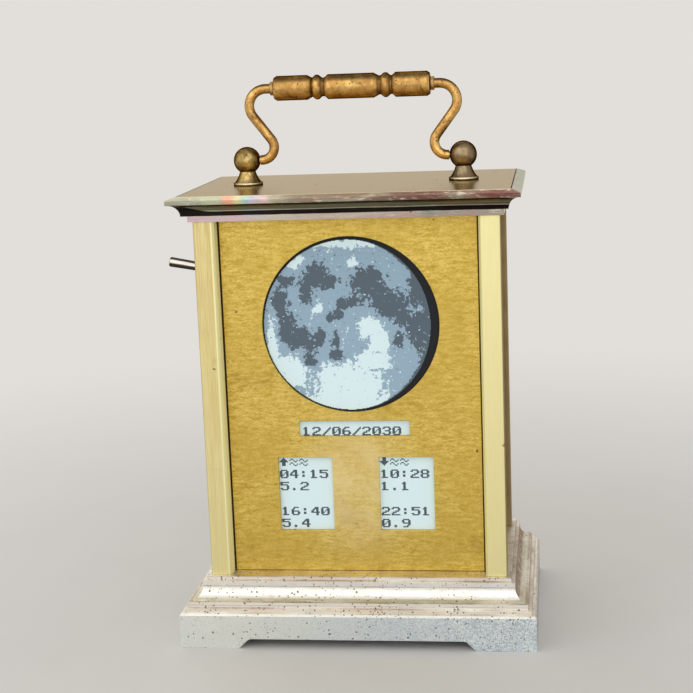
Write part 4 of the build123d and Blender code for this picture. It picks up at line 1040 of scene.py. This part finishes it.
smallParts = {
    "size": (1.0, 0.55, 1.6), "end": 0.35, "y": -5.5,
    "places": [(-5.4, 61.5), (-3.4, 61.5), (-1.4, 61.5), (2.2, 62.0), (4.6, 62.0), (-5.2, 80.0), (-2.6, 81.0),
               (0.4, 80.4), (-5.0, 86.2), (-2.2, 86.6), (0.8, 86.8), (6.4, 66.8), (-6.6, 76.6)],
}
wide, thick, tall = smallParts["size"]
middle = smallParts["y"] + thick / 2
between = tall - smallParts["end"]
bodies, ends = [], []
for x, z in smallParts["places"]:
    bodies.append(block((x, middle, z), (wide - 0.08, thick - 0.06, between)))
    for end in (-1, 1):
        ends.append(block((x, middle, z + end * between / 2), (wide, thick, smallParts["end"])))
dress(joined(bodies), "part_bodies", "blackPlastic", "case")
dress(joined(ends), "part_ends", "tinned", "case")
print("small pieces finished")


# Floor, lamps and camera

def seen(tree):  # one for what the camera sees, also in a reflection or through a piece
    rays = tree.nodes.new("ShaderNodeLightPath").outputs
    beyond = larger(tree, rays["Is Glossy Ray"], rays["Is Transmission Ray"])
    return larger(tree, rays["Is Camera Ray"], beyond)


bare()
bpy.ops.mesh.primitive_plane_add(size=6, location=(0, 0, -0.00002))
floor = bpy.context.object
floor.name = "floor"
made, tree, shader = newMaterial("paleFloor")
colour = blend(tree, noise(tree, place(tree), 30.0, 4.0), (206, 204, 200), (212, 210, 206))
tree.links.new(colour, shader.inputs["Base Color"])
shader.inputs["Roughness"].default_value = 0.8
backdrop = (226, 223, 218)
glow = node(tree, "ShaderNodeEmission", {"Color": rgba(backdrop), "Strength": 1.0}).outputs[0]
away = length(tree, place(tree))
share = times(tree, spread(tree, away, 0.1, 0.42), seen(tree))
mixed = node(tree, "ShaderNodeMixShader", {0: share, 1: shader.outputs[0], 2: glow}).outputs[0]
tree.links.new(mixed, tree.nodes["Material Output"].inputs[0])
floor.data.materials.append(made)

world = bpy.data.worlds.new("studio")
scene.world = world
world.use_nodes = True
tree = world.node_tree
background = tree.nodes["Background"]
tree.links.new(blend(tree, seen(tree), (0.68, 0.68, 0.68, 1), backdrop), background.inputs["Color"])

lamps = {  # where it stands, size, watts, colour
    "key": ((0.1, -1.6, 0.85), 2.6, 14.0, (1.0, 0.98, 0.95)),
    "fill": ((-1.1, -0.7, 0.9), 1.2, 3.0, (0.97, 0.98, 1.0)),
    "back": ((-0.5, 1.0, 1.2), 1.3, 4.0, (1.0, 0.98, 0.95)),
}
for name, (stand, size, watts, colour) in lamps.items():
    lamp = bpy.data.lights.new(name, "AREA")
    lamp.size, lamp.energy, lamp.color = size, watts, colour
    holder = bpy.data.objects.new(name, lamp)
    scene.collection.objects.link(holder)
    holder.location = stand
    holder.rotation_mode = "QUATERNION"
    holder.rotation_quaternion = (Vector((0, 0, 0.07)) - Vector(stand)).to_track_quat("-Z", "Y")

view = {"place": (54.118, -427.075, 159.315), "yaw": 0.13555, "pitch": 0.19168, "roll": -0.03873,
        "lens": 82.17}
yaw, pitch, roll = view["yaw"], view["pitch"], view["roll"]
lens = bpy.data.cameras.new("camera")
lens.lens, lens.sensor_width = view["lens"], 36.0
lens.clip_start, lens.clip_end = 0.01, 20.0
camera = bpy.data.objects.new("camera", lens)
scene.collection.objects.link(camera)
camera.location = Vector(view["place"]) * mm
ahead = Vector((-sin(yaw) * cos(pitch), cos(yaw) * cos(pitch), -sin(pitch)))
right = Vector((cos(yaw), sin(yaw), 0))
up = right.cross(ahead)
right, up = cos(roll) * right + sin(roll) * up, cos(roll) * up - sin(roll) * right
camera.rotation_mode = "QUATERNION"
camera.rotation_quaternion = Matrix((right, up, -ahead)).transposed().to_quaternion()
scene.camera = camera
scene.view_settings.view_transform = "Standard"
print("lamps and camera ready")
